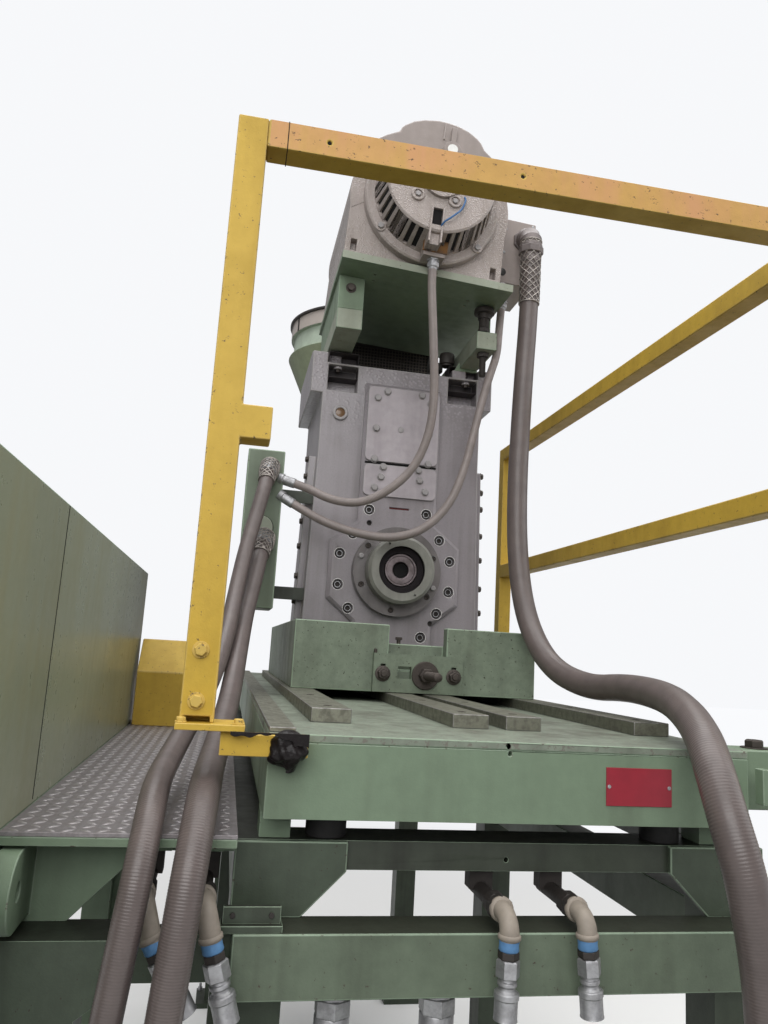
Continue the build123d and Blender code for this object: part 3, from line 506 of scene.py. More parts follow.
def paint(name, colour, dirt, roughness, blotch=0.35, chips=0.0, bare=(96, 88, 80), relief=0.25,
          grime=0.35, top_shade=0.0):
    """Old shop paint: cloudy colour, streaks down the sides, grime in the blots and chips, and
    painted shade, in the dirt's colour, on the faces that look up."""
    finish = Finish(name, roughness)
    finish.shader.inputs["Specular IOR Level"].default_value = 0.36
    clouds = finish.noise(260, 4)
    spots = finish.noise(28, 4, 0.65)
    streaks = finish.noise(60, 3, 0.6, stretch=(1, 1, 0.07))
    stain = (clouds * 0.5 + streaks * 0.5).above(0.56, 0.13)
    darker = linear(*[c * 0.86 for c in colour])
    shade = finish.mix(spots.above(0.5, 0.25) * blotch, linear(*colour), darker)
    shade = finish.mix(stain * grime, shade, linear(*dirt))
    # Painted shade: faces that look up turn towards the dirt's colour, for the shade of what is over them
    if top_shade:
        shade = finish.mix(finish.upward().above(0.6, 0.2) * top_shade, shade, linear(*dirt))
    rough = roughness + 0.18 * spots + 0.1 * stain
    if chips:
        flakes = finish.noise(9, 5, 0.7).above(1 - chips, 0.012)
        shade = finish.mix(flakes, shade, linear(*bare))
    orange_peel = finish.noise(3.2, 2)
    return finish.set(colour=shade, roughness=rough, normal=finish.bump(orange_peel + spots, relief))


def steel(name, colour, roughness=0.38, scratch=(1, 0.06, 1), grime=(60, 54, 48), amount=0.4):
    """Bare metal with fine drawn lines, dull spots and old oil."""
    finish = Finish(name, roughness, 0.85)
    lines = finish.noise(5, 3, 0.6, stretch=scratch)
    spots = finish.noise(22, 4, 0.65)
    oil = spots.above(0.53, 0.12) * amount
    shade = finish.mix(lines.above(0.5, 0.3) * 0.4, linear(*colour), linear(*[c * 0.78 for c in colour]))
    shade = finish.mix(oil, shade, linear(*grime))
    return finish.set(colour=shade, roughness=roughness + 0.22 * spots + 0.1 * lines,
                      metallic=0.9 - 0.5 * oil, normal=finish.bump(lines, 0.12))


def plain(name, colour, roughness=0.6, relief=0.15, vary=0.25, size=14, metallic=0.0, sheen=0.5):
    """Rubber, plastic and the like, a little uneven."""
    finish = Finish(name, roughness, metallic)
    finish.shader.inputs["Specular IOR Level"].default_value = sheen
    spots = finish.noise(size, 4, 0.6)
    shade = finish.mix(spots.above(0.5, 0.25) * vary, linear(*colour), linear(*[c * 0.7 for c in colour]))
    return finish.set(colour=shade, roughness=roughness + 0.2 * spots, normal=finish.bump(spots, relief))


def cast_paint(name, colour, dirt, high_edge, shine, drop=11, pale=0.22):
    """Grey paint sprayed thick over a casting, in drops near the top. The drops are painted paler
    by the share pale, as highlights on their gloss.
    """
    finish = Finish(name, shine)
    clouds = finish.noise(180, 4)
    streaks = finish.noise(46, 3, 0.6, stretch=(1, 1, 0.05))
    sand = finish.noise(4.5, 3, 0.6)
    drops = 1 - finish.cells(drop).above(0.36, 0.2)
    stain = (clouds * 0.45 + streaks * 0.55).above(0.55, 0.12)
    shade = finish.mix(stain * 0.4, linear(*colour), linear(*dirt))
    shade = finish.mix(sand.above(0.6, 0.12) * 0.3, shade, linear(*[c * 0.8 for c in colour]))
    sprayed = finish.height().above(high_edge * MM, 0.16) * finish.noise(70, 3).above(0.45, 0.2)
    drops = drops * sprayed
    # Painted highlight: the drops turn paler by the share pale
    shade = finish.mix(drops * pale, shade, linear(*[min(255, c * 1.2) for c in colour]))
    relief = sand * 0.3 + drops
    return finish.set(colour=shade, roughness=shine - 0.06 + 0.2 * clouds, normal=finish.bump(relief, 1.1))


green_paint = paint("machine_green", (119, 137, 114), (72, 74, 62), 0.4)
green_worn = paint("machine_green_edge", (138, 155, 134), (84, 80, 68), 0.45, chips=0.36, bare=(92, 84, 74))
green_greasy = paint("table_top_green", (132, 141, 126), (70, 68, 58), 0.35, blotch=0.8, chips=0.42,
                     bare=(112, 110, 100), grime=0.7)
green_cabinet = paint("cabinet_green", (140, 147, 122), (146, 138, 100), 0.2, blotch=0.12, relief=0.08,
                      grime=0.35)
green_box = paint("box_green", (104, 116, 98), (72, 74, 60), 0.36, blotch=0.2, relief=0.1, grime=0.4)
# A paler green for the motor arms, the box's cap and the plate's front faces
green_pale = paint("dusty_green", (152, 158, 142), (104, 104, 90), 0.5, blotch=0.4, chips=0.34,
                    bare=(92, 84, 74))
# Oily green for the frame under the table, painted darker still as the table's shade over it
green_oily_shaded = paint("oily_green", (62, 68, 57), (30, 30, 25), 0.32, blotch=0.8, chips=0.3,
                   bare=(52, 46, 40), grime=0.8, top_shade=0.8)
# Stained green for the beams, its colour darkened as painted shade under the table
green_stained_shaded = paint("stained_green", (104, 116, 98), (44, 44, 36), 0.4, blotch=0.6, chips=0.33,
                      bare=(70, 60, 52), grime=0.45, top_shade=0.85)
# Dark green for the base's legs and gussets: painted shade under the table
green_shaded = paint("shaded_green", (74, 84, 70), (36, 36, 30), 0.36, blotch=0.6, chips=0.33,
                     bare=(60, 54, 46), grime=0.6, top_shade=0.7)
green_carriage = paint("carriage_green", (114, 126, 108), (52, 50, 40), 0.38, blotch=0.9, chips=0.36,
                       bare=(52, 46, 38), grime=0.45)
loop_skin = plain("loop_grey", (134, 124, 120), 0.34, 0.1, 0.35, 40)
gear_paint = cast_paint("gearbox_grey", (142, 136, 139), (92, 86, 84), high_edge=2330, shine=0.28, pale=0.5)
gear_edge = paint("gearbox_grey_edge", (158, 154, 154), (104, 98, 94), 0.4, chips=0.34, bare=(110, 104, 98))
# Near-white for the counterbores' bare edges, painted lighter as the highlight they catch
gear_bright = plain("counterbore_rim", (226, 223, 220), 0.3, 0.05, 0.15)
motor_paint = cast_paint("motor_cream", (162, 152, 147), (112, 102, 92), high_edge=1000, drop=6, shine=0.22)
motor_plain = paint("motor_cream_sheet", (150, 140, 135), (104, 94, 86), 0.26, grime=0.3)
yellow_paint = paint("guard_yellow", (200, 165, 60), (142, 113, 46), 0.42, blotch=0.35, chips=0.34,
                     bare=(92, 74, 48))
yellow_worn = paint("guard_yellow_edge", (206, 174, 88), (116, 94, 52), 0.45, chips=0.38, bare=(96, 80, 56))
yellow_faded = paint("guard_faded", (196, 154, 84), (198, 146, 104), 0.5, blotch=0.4, chips=0.36,
                     bare=(96, 74, 54), grime=1.0)
red_plate = plain("plate_red", (150, 38, 52), 0.35, 0.05, 0.3, 30)
bare_steel = steel("bare_steel", (150, 148, 144))
dark_steel = steel("dark_steel", (84, 78, 74), 0.42, amount=0.6)
zinc = steel("zinc_plate", (170, 170, 172), 0.33, amount=0.25)
tread_steel = steel("tread_plate", (148, 143, 144), 0.4, scratch=(1, 0.03, 1), grime=(108, 100, 98),
                    amount=0.5)
tread_bright = steel("tread_top", (178, 173, 174), 0.32, scratch=(1, 0.2, 1), grime=(140, 132, 128),
                     amount=0.3)
way_steel = steel("way_steel", (140, 140, 126), 0.36, amount=0.5)
rubber = plain("black_rubber", (34, 33, 33), 0.7)
tar = plain("tar", (24, 19, 19), 0.2, 1.4, 0.4, 9, sheen=0.2)
conduit_skin = plain("conduit_grey", (98, 88, 85), 0.26, 0.1, 0.4, 40)
tan_fitting = plain("fitting_tan", (150, 140, 128), 0.5, 0.5, 0.4, 24)
blue_tape = plain("blue_tape", (92, 138, 184), 0.5, 0.3, 0.3, 8)
blue_wire = plain("blue_wire", (44, 92, 140), 0.4, 0.05, 0.2)
brass = steel("brass", (116, 84, 52), 0.34, amount=0.7)
amber = plain("amber_glass", (112, 84, 56), 0.12, 0.1, 0.4, 10)
black_paint = plain("black_paint", (40, 38, 36), 0.5, 0.2, 0.3)
wire_mesh = plain("mesh_black", (46, 44, 42), 0.5, 0.1, 0.3, metallic=0.4)
clear_band = plain("hopper_band", (186, 176, 168), 0.12, 0.05, 0.15, 60)
grip_wire = steel("grip_wire", (168, 161, 155), 0.36, amount=0.45)
elbow_grey = plain("elbow_grey", (112, 104, 102), 0.36, 0.4, 0.35, 16, metallic=0.4)
bearing_grey = paint("bearing_grey", (138, 138, 130), (66, 62, 56), 0.26, blotch=0.5, relief=0.15,
                     grime=0.5)
flange_grey = paint("flange_grey", (116, 111, 110), (60, 56, 54), 0.26, blotch=0.5, relief=0.15, grime=0.5)
# Black for the seal, and for painted shade on the wall of the seal's recess
seal_black = plain("seal_black", (30, 25, 27), 0.5, 0.2, 0.4, 12, sheen=0.15)
hopper_green = paint("hopper_green", (146, 155, 126), (90, 92, 74), 0.4, blotch=0.5, relief=0.2, grime=0.4)
hopper_pale = paint("hopper_pale", (184, 198, 180), (118, 124, 108), 0.4, blotch=0.5, relief=0.2, grime=0.3)
# A paler copy of the gearbox grey for the covers: painted sheen for the gloss on them
gear_cover_sheen = paint("gearbox_cover", (176, 168, 172), (104, 98, 98), 0.3, blotch=0.5, relief=0.25,
                   grime=0.35)
gear_shaded = paint("gearbox_shaded", (64, 59, 60), (30, 27, 26), 0.5, blotch=0.5, relief=0.2, grime=0.6)
iron_black = plain("iron_black", (52, 47, 44), 0.5, 0.5, 0.4, 16, metallic=0.3)
mesh_wire = plain("mesh_wire", (92, 86, 80), 0.45, 0.1, 0.3, metallic=0.6)
band_steel = steel("barrel_sheet", (172, 170, 166), 0.34, amount=0.3)
shaft_steel = steel("shaft_steel", (122, 112, 114), 0.3, amount=0.5)
# Black for dark seams and gaps, and for painted shade in holes, bores and hollows
dark_inside = plain("dark_inside", (16, 15, 15), 0.9, 0.1, 0.2)

# The slot of each finish, and what shows on the rounded edges of the slots that wear
SLOT_OF = {finish.name: slot for slot, finishes in (
    ("machine_green", (green_paint, green_greasy, green_cabinet, green_box, green_pale, green_oily_shaded,
                       green_stained_shaded, green_shaded, green_carriage, hopper_green, hopper_pale)),
    ("gearbox_grey", (gear_paint, gear_edge, gear_bright, gear_cover_sheen, gear_shaded, flange_grey)),
    ("motor_cream", (motor_paint, motor_plain)),
    ("guard_yellow", (yellow_paint, yellow_worn)),
    ("plate_red", (red_plate,)),
    ("bare_steel", (bare_steel, zinc, way_steel, shaft_steel, elbow_grey)),
    ("dark_steel", (dark_steel, iron_black, black_paint, grip_wire, dark_inside)),
    ("tread_plate", (tread_steel, tread_bright)),
    ("band_steel", (band_steel, brass, clear_band)),
    ("black_rubber", (rubber, tar, seal_black)),
    ("conduit_grey", (conduit_skin, loop_skin)),
    ("fitting_tan", (tan_fitting, blue_tape, blue_wire, amber)),
    ("mesh_black", (wire_mesh, mesh_wire)),
) for finish in finishes}
WORN_EDGE = {"machine_green": green_worn, "gearbox_grey": gear_edge, "guard_yellow": yellow_worn}


def face_finish(piece, direction, finish):
    """Another finish on the faces that look one way."""
    piece.data.materials.append(finish)
    number = len(piece.data.materials) - 1
    for face in piece.data.polygons:
        if face.normal.dot(direction) > 0.9:
            face.material_index = number


# Guard

TUBE = 50.8
ARM_LOW = 1388.0
ARM_CUT = 140.0
PLATE_OVER_ARM = 5.5
POST_WALL = 6.0
POST_SLOT_DOWN = (555.0, 512.0)
POST_BOLTS = (1540.0, 1465.0)
ARM_BOLTS = (8.0, 92.0)
RAIL_HOLES = (-421.0, -70.0)
RAIL_SEAM = -492.0


def make_guard():
    low, high = corners("guard_front_post")
    front, middle = low.y, low.x + TUBE / 2
    foot_slot = (low.x + POST_WALL, low.x + TUBE - POST_WALL)
    cuts = Shape().block(*foot_slot, front - 1, front + 34, low.z - 1, low.z + 9)
    bottom, top = (high.z - down for down in POST_SLOT_DOWN)
    cuts.block(low.x + TUBE + POST_WALL, high.x + 1, front + 5, front + TUBE - 5, bottom, top)
    post = dress("guard_front_post", yellow_paint, 3.5, cuts)
    face_finish(post, UPWARD, yellow_faded)
    low, high = corners("guard_top_rail")
    middle_up = (low.z + high.z) / 2
    holes, hole_shade = Shape(), Shape()
    for across in RAIL_HOLES:
        holes.rod((across, low.y + 14, middle_up), FRONTWARD, 3.4, 18, 16)
        # A black disc deep in each hole: painted shade inside it
        hole_shade.rod((across, low.y + 13.5, middle_up), FRONTWARD, 3.3, 11.5, 16)
    rail = dress("guard_top_rail", yellow_paint, 3.5, holes)
    face_finish(rail, FRONTWARD, yellow_faded)
    make("rail_holes", hole_shade, dark_inside, 0)
    joint = Shape()
    joint.block(RAIL_SEAM - 0.8, RAIL_SEAM + 0.8, low.y - 0.4, high.y + 0.4, low.z - 0.4, high.z + 0.4)
    make("rail_joint", joint, dark_inside, 0, "guard_yellow")
    dress("guard_side_rails", yellow_paint, 3.5)
    dress("guard_right_posts", yellow_paint, 3.5)
    low, high = corners("guard_foot_bracket")
    below = Shape().block(high.x - ARM_CUT, high.x + 1, low.y - 1, low.y + 300, low.z - 1, ARM_LOW)
    dress("guard_foot_bracket", yellow_paint, 1.5, below)
    dress("guard_outrigger", green_paint, 2.5)
    bolts = Shape()
    for up in POST_BOLTS:
        bolts.bolt((middle - 3, front, up), FRONTWARD, 20, 8, washer=13)
    for across in ARM_BOLTS:
        bolts.bolt((low.x + across, low.y + 12, high.z), UPWARD, 15, 6, washer=9)
    make("guard_bolts", bolts, yellow_worn, 0.7)
    make_tar(high.x, low.y, high.z - PLATE_OVER_ARM)


TAR_RINGS = 30
TAR_SIDES = 40
TAR_RADII = (28, 24)
TAR_UP, TAR_DOWN = 28, 27
COAT_LONG = 118.0
COAT_TOP = 3.5
COAT_LEAST = 4.5
COAT_STEPS = 40


def make_tar(right, front, top):
    """The lump of old tar at the end of the guard's arm and the coat that ran down the arm."""
    lump = Shape(Matrix.Translation((right - 31, front + 22, top - 28)))
    points = []
    for i in range(TAR_RINGS + 1):
        rise = math.pi * i / TAR_RINGS
        low = math.cos(rise) < 0
        for j in range(TAR_SIDES):
            turn = math.tau * j / TAR_SIDES
            wobble = 1 + 0.10 * math.sin(3 * turn + 2 * rise) + 0.08 * math.sin(5 * rise + turn)
            wobble += 0.06 * math.sin(9 * turn - 4 * rise) * math.sin(rise)
            wobble += 0.03 * math.sin(14 * rise + 5 * turn) * math.sin(rise)
            drip = 1 + 0.22 * max(0, math.cos(turn - 0.4)) if low else 1
            out = wobble * math.sin(rise)
            high = TAR_DOWN * drip * wobble if low else TAR_UP
            wide, deep = TAR_RADII
            points.append((wide * out * math.cos(turn), deep * out * math.sin(turn), high * math.cos(rise)))
    faces = []
    for i in range(TAR_RINGS):
        for j in range(TAR_SIDES):
            here, there = i * TAR_SIDES, (i + 1) * TAR_SIDES
            after = (j + 1) % TAR_SIDES
            faces.append((here + j, here + after, there + after, there + j))
    lump.put(points, faces)
    make("tar_lump", lump, tar, 0, smooth=80)
    left = right - COAT_LONG
    edge = []
    for k in range(COAT_STEPS + 1):
        share = k / COAT_STEPS
        sag = 8 + 2.5 * math.sin(9.3 * share) + 1.5 * math.sin(31 * share) + 16 * share ** 4
        edge.append((left + (COAT_LONG - 1) * share, top - max(COAT_LEAST, sag)))
    outline = [(left, top - COAT_TOP)] + edge + [(right - 1, top - COAT_TOP)]
    coat = Shape().slab(outline, front - 1.4, front + 1, "y")
    make("tar_coat", coat, tar, 0.5)


# Walkway and cabinet

TREAD_PITCH = 24.0
TREAD_LONG = 12.5
TREAD_WIDE = 3.4
TREAD_HIGH = 1.6
TREAD_START = 4.0
CLIPS = (-601.0, -524.0)
CLIP_WIDE = 30
CLIP_BACK = 46
CLIP_FRONT = 32
CLIP_HOOK_FRONT = 20
CABINET_SEAM = 135.0
SEAM_HALF = 2.2
SEAM_OUT = 0.4
BOX_CREASE_UP = 1448.0
BOX_SLOPE_BACK = 90.0


def make_walkway():
    dress("walkway_plate", tread_steel, 0.8)
    low, high = corners("walkway_plate")
    treads = Shape()
    rows = int((high.y - low.y) / TREAD_PITCH)
    columns = int((high.x - low.x) / TREAD_PITCH)
    ring = [(1, 0), (0.5, 1), (-0.5, 1), (-1, 0), (-0.5, -1), (0.5, -1)]
    for row in range(rows):
        for column in range(columns):
            lean = math.radians(45 if (row + column) % 2 else -45)
            across = low.x + (column + 0.5) * TREAD_PITCH + TREAD_START
            spot = (across, low.y + (row + 0.5) * TREAD_PITCH, high.z)
            treads.where = Matrix.Translation(spot) @ Matrix.Rotation(lean, 4, "Z")
            points = [(a * TREAD_LONG, b * TREAD_WIDE, -0.2) for a, b in ring]
            points += [(TREAD_LONG * 0.55, 0, TREAD_HIGH), (-TREAD_LONG * 0.55, 0, TREAD_HIGH)]
            treads.put(points, [(0, 1, 6), (1, 2, 7, 6), (2, 3, 7), (3, 4, 7), (4, 5, 6, 7), (5, 0, 6)])
    make("walkway_treads", treads, tread_bright, 0, smooth=70)
    dress("walkway_frame", green_paint, 2.0)
    dress("walkway_bracket", green_paint, 2.5)
    rim = corners("walkway_frame")[1].z - 13
    clips = Shape()
    for across in CLIPS:
        clips.block(across, across + CLIP_WIDE, CLIP_FRONT, CLIP_BACK, rim - 24, rim)
        clips.block(across, across + CLIP_WIDE, CLIP_HOOK_FRONT, CLIP_BACK, rim - 4, rim)
        clips.bolt((across + CLIP_WIDE / 2, CLIP_FRONT, rim - 14), FRONTWARD, 11, 4)
    make("walkway_clips", clips, green_paint, 1.0, worn=green_worn)
    low, high = corners("cabinet_body")
    dress("cabinet_body", green_cabinet, 3.0)
    seam = Shape()
    near, far = CABINET_SEAM - SEAM_HALF, CABINET_SEAM + SEAM_HALF
    for across in (low.x, high.x):
        seam.block(across - SEAM_OUT, across + SEAM_OUT, near, far, low.z + 8, high.z - 3)
    seam.block(low.x + 3, high.x - 3, near, far, high.z - SEAM_OUT, high.z + SEAM_OUT)
    make("cabinet_seam", seam, dark_inside, 0)
    dress("cabinet_stand", green_paint, 2.0)
    low, high = corners("yellow_box")
    corner = [(low.y - 1, BOX_CREASE_UP), (low.y + BOX_SLOPE_BACK, high.z + 1), (low.y - 1, high.z + 1)]
    dress("yellow_box", yellow_paint, 4.0, Shape().slab(corner, low.x - 1, high.x + 1, "x"))


# Base

# The base's darker greens paint the shade under the table
BASE_LOOKS = (("base_legs", green_shaded), ("base_beams", green_stained_shaded), ("base_upper_frame", green_oily_shaded),
              ("base_gussets", green_shaded), ("base_side_leg", green_shaded))
# Across, back from the piece's front, up, and deep
BASE_HOLES = {"base_upper_frame": (-30, 20, 1224, 24), "base_gussets": (380, 6, 1166, 20)}
STOP_SIDES = (-491, -400)
STOP_BOLTS = (-474, -417)
STOP_BOLTS_UP = 22
ANCHOR_ROWS = (170, 2670)
ANCHOR_COLUMNS = (-497, -367, 331, 461)
FOOT_THICK = 20


def make_base():
    for node, finish in BASE_LOOKS:
        hole = None
        if node in BASE_HOLES:
            across, back, up, deep = BASE_HOLES[node]
            hole = Shape().rod((across, corners(node)[0].y + back, up), FRONTWARD, 4, deep, 16)
        dress(node, finish, 2.5, hole)
    low, high = corners("base_beams")
    left, right = STOP_SIDES
    plate = Shape().block(left, right, low.y + 4, low.y + 40, high.z, high.z + 10)
    plate.block(left + 3, right - 3, low.y + 14, low.y + 24, high.z + 10, high.z + 34)
    make("base_stop_plate", plate, green_shaded, 1.0, worn=green_worn)
    bolts = Shape()
    for across in STOP_BOLTS:
        bolts.bolt((across, low.y + 14, high.z + STOP_BOLTS_UP), FRONTWARD, 9, 3.5)
    make("stop_plate_bolts", bolts, iron_black, 0.3)
    anchors = Shape()
    for back in ANCHOR_ROWS:
        for across in ANCHOR_COLUMNS:
            anchors.spin((across, back, FOOT_THICK), UPWARD, (24, (12, 0), (12, 2.5)),
                         (6, (11, 2.5), (11, 10), (9.6, 12)), (14, (5.8, 12), (5.8, 26), (5, 27)))
    make("floor_anchors", anchors, zinc, 0.6)


# Table with its ways

FRAME_HOLE = (-50, 1401)
EDGE_HOLE = (-54, 1413.5)
SIGN_INSET = 5
WAY_SCREWS_ACROSS = (318.5, 52.5)
WAY_SCREW_FIRST = 260
WAY_SCREW_STEP = 330
WAY_SCREW_ROWS = 7
CARRIAGE_COVERS = (820, 2100)


def make_table():
    bottom = corners("table_frame")[0].y + 12
    for node, finish, (across, up), radius in (("table_frame", green_paint, FRAME_HOLE, 3.2),
                                               ("table_top", green_greasy, EDGE_HOLE, 2.8)):
        dress(node, finish, 2.0, Shape().rod((across, bottom, up), FRONTWARD, radius, 14, 16))
    dress("way_bars", way_steel, 1.6, worn=bare_steel)
    dress("table_feet", green_paint, 1.5)
    dress("isolation_pads", rubber, 1.5)
    low, high = corners("warning_plate")
    dress("warning_plate", red_plate, 0.5)
    screws = Shape()
    for across in (low.x + SIGN_INSET, high.x - SIGN_INSET):
        screws.spin((across, low.y, (low.z + high.z) / 2), FRONTWARD,
                    (18, (3.2, 0), (3.0, 1.0), (1.8, 1.7)), turn=0.6)
    make("sign_screws", screws, zinc, 0)
    low, high = corners("way_bars")
    studs = Shape()
    for side in (-1, 1):
        for across in WAY_SCREWS_ACROSS:
            for k in range(WAY_SCREW_ROWS):
                back = low.y + WAY_SCREW_FIRST + k * WAY_SCREW_STEP
                if back < CARRIAGE_COVERS[0] or back > CARRIAGE_COVERS[1]:
                    studs.socket_screw((side * across, back, high.z - 1.0), UPWARD, 8.5, 1.6)
    make("way_screws", studs, dark_steel, 0)


# Carriage and its adjuster

ADJUSTER_BOLTS = (-99, 99)
ADJUSTER_X = 19
ADJUSTER_SLOT = (7, -6, 26)
CARRIAGE_BOLT = (-45, 940, 1577)
ROD_THREADS = 52
ROD_PITCH = 2.1


def make_carriage():
    dress("carriage_frame", green_carriage, 3.0)
    low, high = corners("adjuster_plate")
    front, middle = low.y, (low.z + high.z) / 2 - 3
    slots = Shape()
    half, down, rise = ADJUSTER_SLOT
    for across in ADJUSTER_BOLTS:
        slots.block(across - half, across + half, front - 1, high.y + 1, middle + down, middle + rise)
    dress("adjuster_plate", green_carriage, 1.6, slots)
    nuts = Shape()
    for across in ADJUSTER_BOLTS:
        nuts.spin((across, front, middle), FRONTWARD, (28, (21, 0), (21, 3), (20, 3.5)),
                  (6, (16.5, 3.5), (16.5, 14), (14, 17)), (16, (8.5, 17), (8.5, 22), (7, 23.5)), turn=0.2)
    nuts.spin((ADJUSTER_X, front, middle), FRONTWARD, (40, (38, 0), (38, 5), (36.5, 6.5)),
              (6, (21, 6.5), (21, 23), (18.5, 26)), turn=0.5)
    make("adjuster_nuts", nuts, dark_steel, 0.6, replaced=["adjuster_screws"])
    profile = [(12, 26)]
    for k in range(ROD_THREADS):
        profile += [(12, 27 + k * ROD_PITCH), (10.8, 28 + k * ROD_PITCH)]
    profile += [(11.5, 138), (9.5, 140)]
    rod = Shape().spin((ADJUSTER_X, front, middle), FRONTWARD, (28, *profile))
    make("adjuster_rod", rod, dark_steel, 0, smooth=50)
    studs = Shape().spin((-120, front + 10, high.z - 1), UPWARD, (14, (4.5, 0), (4.5, 11), (3.8, 12)))
    studs.spin(CARRIAGE_BOLT, UPWARD, (16, (5.5, 0), (5.5, 12)),
               (6, (10.5, 12), (10.5, 18.5), (9.3, 20)))
    make("carriage_studs", studs, dark_steel, 0.5)


# Gearbox: bolts and screws are given across and up, the same on both sides of the axis

def both_sides(*spots):
    return [(side * across, up) for side in (-1, 1) for across, up in spots]


LID_BOLTS = (both_sides((92, 2396), (92, 2290), (92, 2184)) + both_sides((60, 2421), (60, 2159))
             + both_sides((66, 2125)) + both_sides((86, 2087)))
PLATE_SCREWS = both_sides((97, 2013), (146, 1929), (185, 1861), (185, 1760), (147, 1686), (97, 1606))
PLATE_DOWELS = ((-94, 1969), (128, 1653))
PLATE_BORE = 175.0
PLATE_CHAMFER = 11.0
SCREW_DEEP = 16
SLOT = (-30, 38, 2021, 2028)
LID_PLUG = (-7, 2293)
GAP_HALF = 122
GAP_UP = (2169.5, 2176.5)
FLANGE_BOLTS = (2180, 2121, 2062, 1967, 1883, 1784, 1702, 1622)
FLANGE_BACK = 1352
FLANGE_FOOT, FLANGE_WIDE, FLANGE_LEAN = 2190, 316, 13
BOSS_X, BOSS_UP = 228, 2507.5
POCKET_NEAR = 160.0
POCKET_FAR = 262.0
POCKET_DEEP = 60.0
POCKET_DOWN = (98, 8)
POCKET_BAR = (172, 221)
BREATHER_SPOT = (158, 1330)
# How thick the dark sheets are that paint the shade in the pockets
SHADE_SHEET = 0.8


def make_gearbox():
    low, high = corners("gearbox_housing")
    plate_low, plate_high = corners("gearbox_front_plate")
    front, face = plate_low.y, plate_high.y
    dress("gearbox_housing", gear_paint, 4.5)
    holes = Shape()
    for across, up in PLATE_SCREWS:
        holes.rod((across, front + SCREW_DEEP, up), FRONTWARD, 17, 20, 28)
    for across, up in PLATE_DOWELS:
        holes.rod((across, front + SCREW_DEEP, up), FRONTWARD, 9, 20, 20)
    left, right, bottom, top = SLOT
    holes.block(left, right, front - 1, front + 6, bottom, top)

    def outer_edge(middle, along_y):
        """The edges round the plate's front, not those of its bore."""
        reach = math.hypot(middle.x, middle.z - AXIS_UP)
        return along_y < 0.001 and abs(middle.y - front) < 0.5 and reach > PLATE_BORE

    dress("gearbox_front_plate", gear_paint, 1.8, holes, chamfer=(PLATE_CHAMFER, outer_edge))
    rims, screws, sockets = Shape(), Shape(), Shape()
    for across, up in PLATE_SCREWS:
        rims.ring((across, front, up), FRONTWARD, 32, (17, -0.5), (18.8, -0.5), (18.6, 0.7), (17.3, 0.7))
        screws.socket_screw((across, front + SCREW_DEEP, up), FRONTWARD, 13.5, 11)
        sockets.ring((across, front + 5.4, up), FRONTWARD, 24,
                     (8.2, -0.4), (10.2, -0.4), (10.2, 0.8), (8.2, 0.8))
    for across, up in PLATE_DOWELS:
        screws.rod((across, front + SCREW_DEEP, up), FRONTWARD, 8.9, 3, 20)
    # A near-white ring at each counterbore's edge: painted highlight on the bare edge
    make("counterbore_rims", rims, gear_bright, 0)
    make("plate_screws", screws, iron_black, 0.4)
    make("screw_socket_rims", sockets, zinc, 0)
    red = Shape().block(left + 0.5, right - 0.5, front + 4.5, front + 6.5, bottom + 0.5, top - 0.5)
    make("slot_lining", red, plain("slot_red", (92, 30, 32), 0.6), 0, "plate_red")
    dress("gearbox_covers", gear_cover_sheen, 1.6)
    lid_face = corners("gearbox_covers")[0].y
    bolts = Shape()
    for across, up in LID_BOLTS:
        bolts.spin((across, lid_face, up), FRONTWARD, (24, (13.5, 0), (13.5, 1.4)),
                   (6, (11.8, 1.4), (11.8, 7.2), (10.0, 9.4)), turn=0.5)
    across, up = LID_PLUG
    bolts.spin((across, lid_face, up), FRONTWARD, (28, (10.5, 0), (10.5, 1.6), (9.4, 2.2)))
    make("cover_bolts", bolts, gear_edge, 0.6)
    gap = Shape().block(-GAP_HALF, GAP_HALF, front - 0.8, front + 0.5, *GAP_UP)
    make("cover_gap", gap, dark_inside, 0)
    bolts = Shape()
    for side in (-1, 1):
        for up in FLANGE_BOLTS:
            edge = FLANGE_WIDE - FLANGE_LEAN * (up - low.z) / (FLANGE_FOOT - low.z)
            bolts.bolt((side * (edge - 0.5), FLANGE_BACK, up), (side, 0, 0), 21, 9, washer=13)
    make("flange_bolts", bolts, dark_steel, 0.6)
    bosses, plugs, pocket_shade = Shape(), Shape(), Shape()
    foot, head = (high.z - down for down in POCKET_DOWN)
    deep = face + POCKET_DEEP
    for side in (-1, 1):
        bosses.spin((side * BOSS_X, face + 24, BOSS_UP), DOWNWARD, (24, (14, 0), (14, 8), (12.5, 9)))
        plugs.spin((side * BOSS_X, face + 24, BOSS_UP - 8.5), DOWNWARD, (6, (7, 0), (7, 9), (6, 10)))
        near, far = sorted((side * POCKET_NEAR, side * POCKET_FAR))
        # Thin dark sheets on the walls of each pocket: painted shade inside it
        pocket_shade.block(near, far, deep - SHADE_SHEET, deep + 0.2, foot, head)
        pocket_shade.block(near - 0.2, near + SHADE_SHEET, face + 3, deep, foot, head)
        pocket_shade.block(far - SHADE_SHEET, far + 0.2, face + 3, deep, foot, head)
        pocket_shade.block(near, far, face + 3, deep, foot - 0.2, foot + SHADE_SHEET)
        pocket_shade.block(near, far, face + 3, deep, head - SHADE_SHEET, head + 0.2)
    bosses.block(*POCKET_BAR, face + 1, face + 36, high.z - 48, high.z - 22)
    make("gearbox_bosses", bosses, gear_paint, 1.5, worn=gear_edge)
    breather = Shape().spin((*BREATHER_SPOT, high.z - 1), UPWARD,
                            (40, (20, 0), (20, 6), (26, 8), (27, 12), (27, 40), (24, 46)))
    make("gearbox_breather", breather, iron_black, 1.0)
    make("pocket_lining", pocket_shade, gear_shaded, 0)
    make("pocket_plugs", plugs, dark_steel, 0.4)
    make_fittings()
    make_bearing(front)


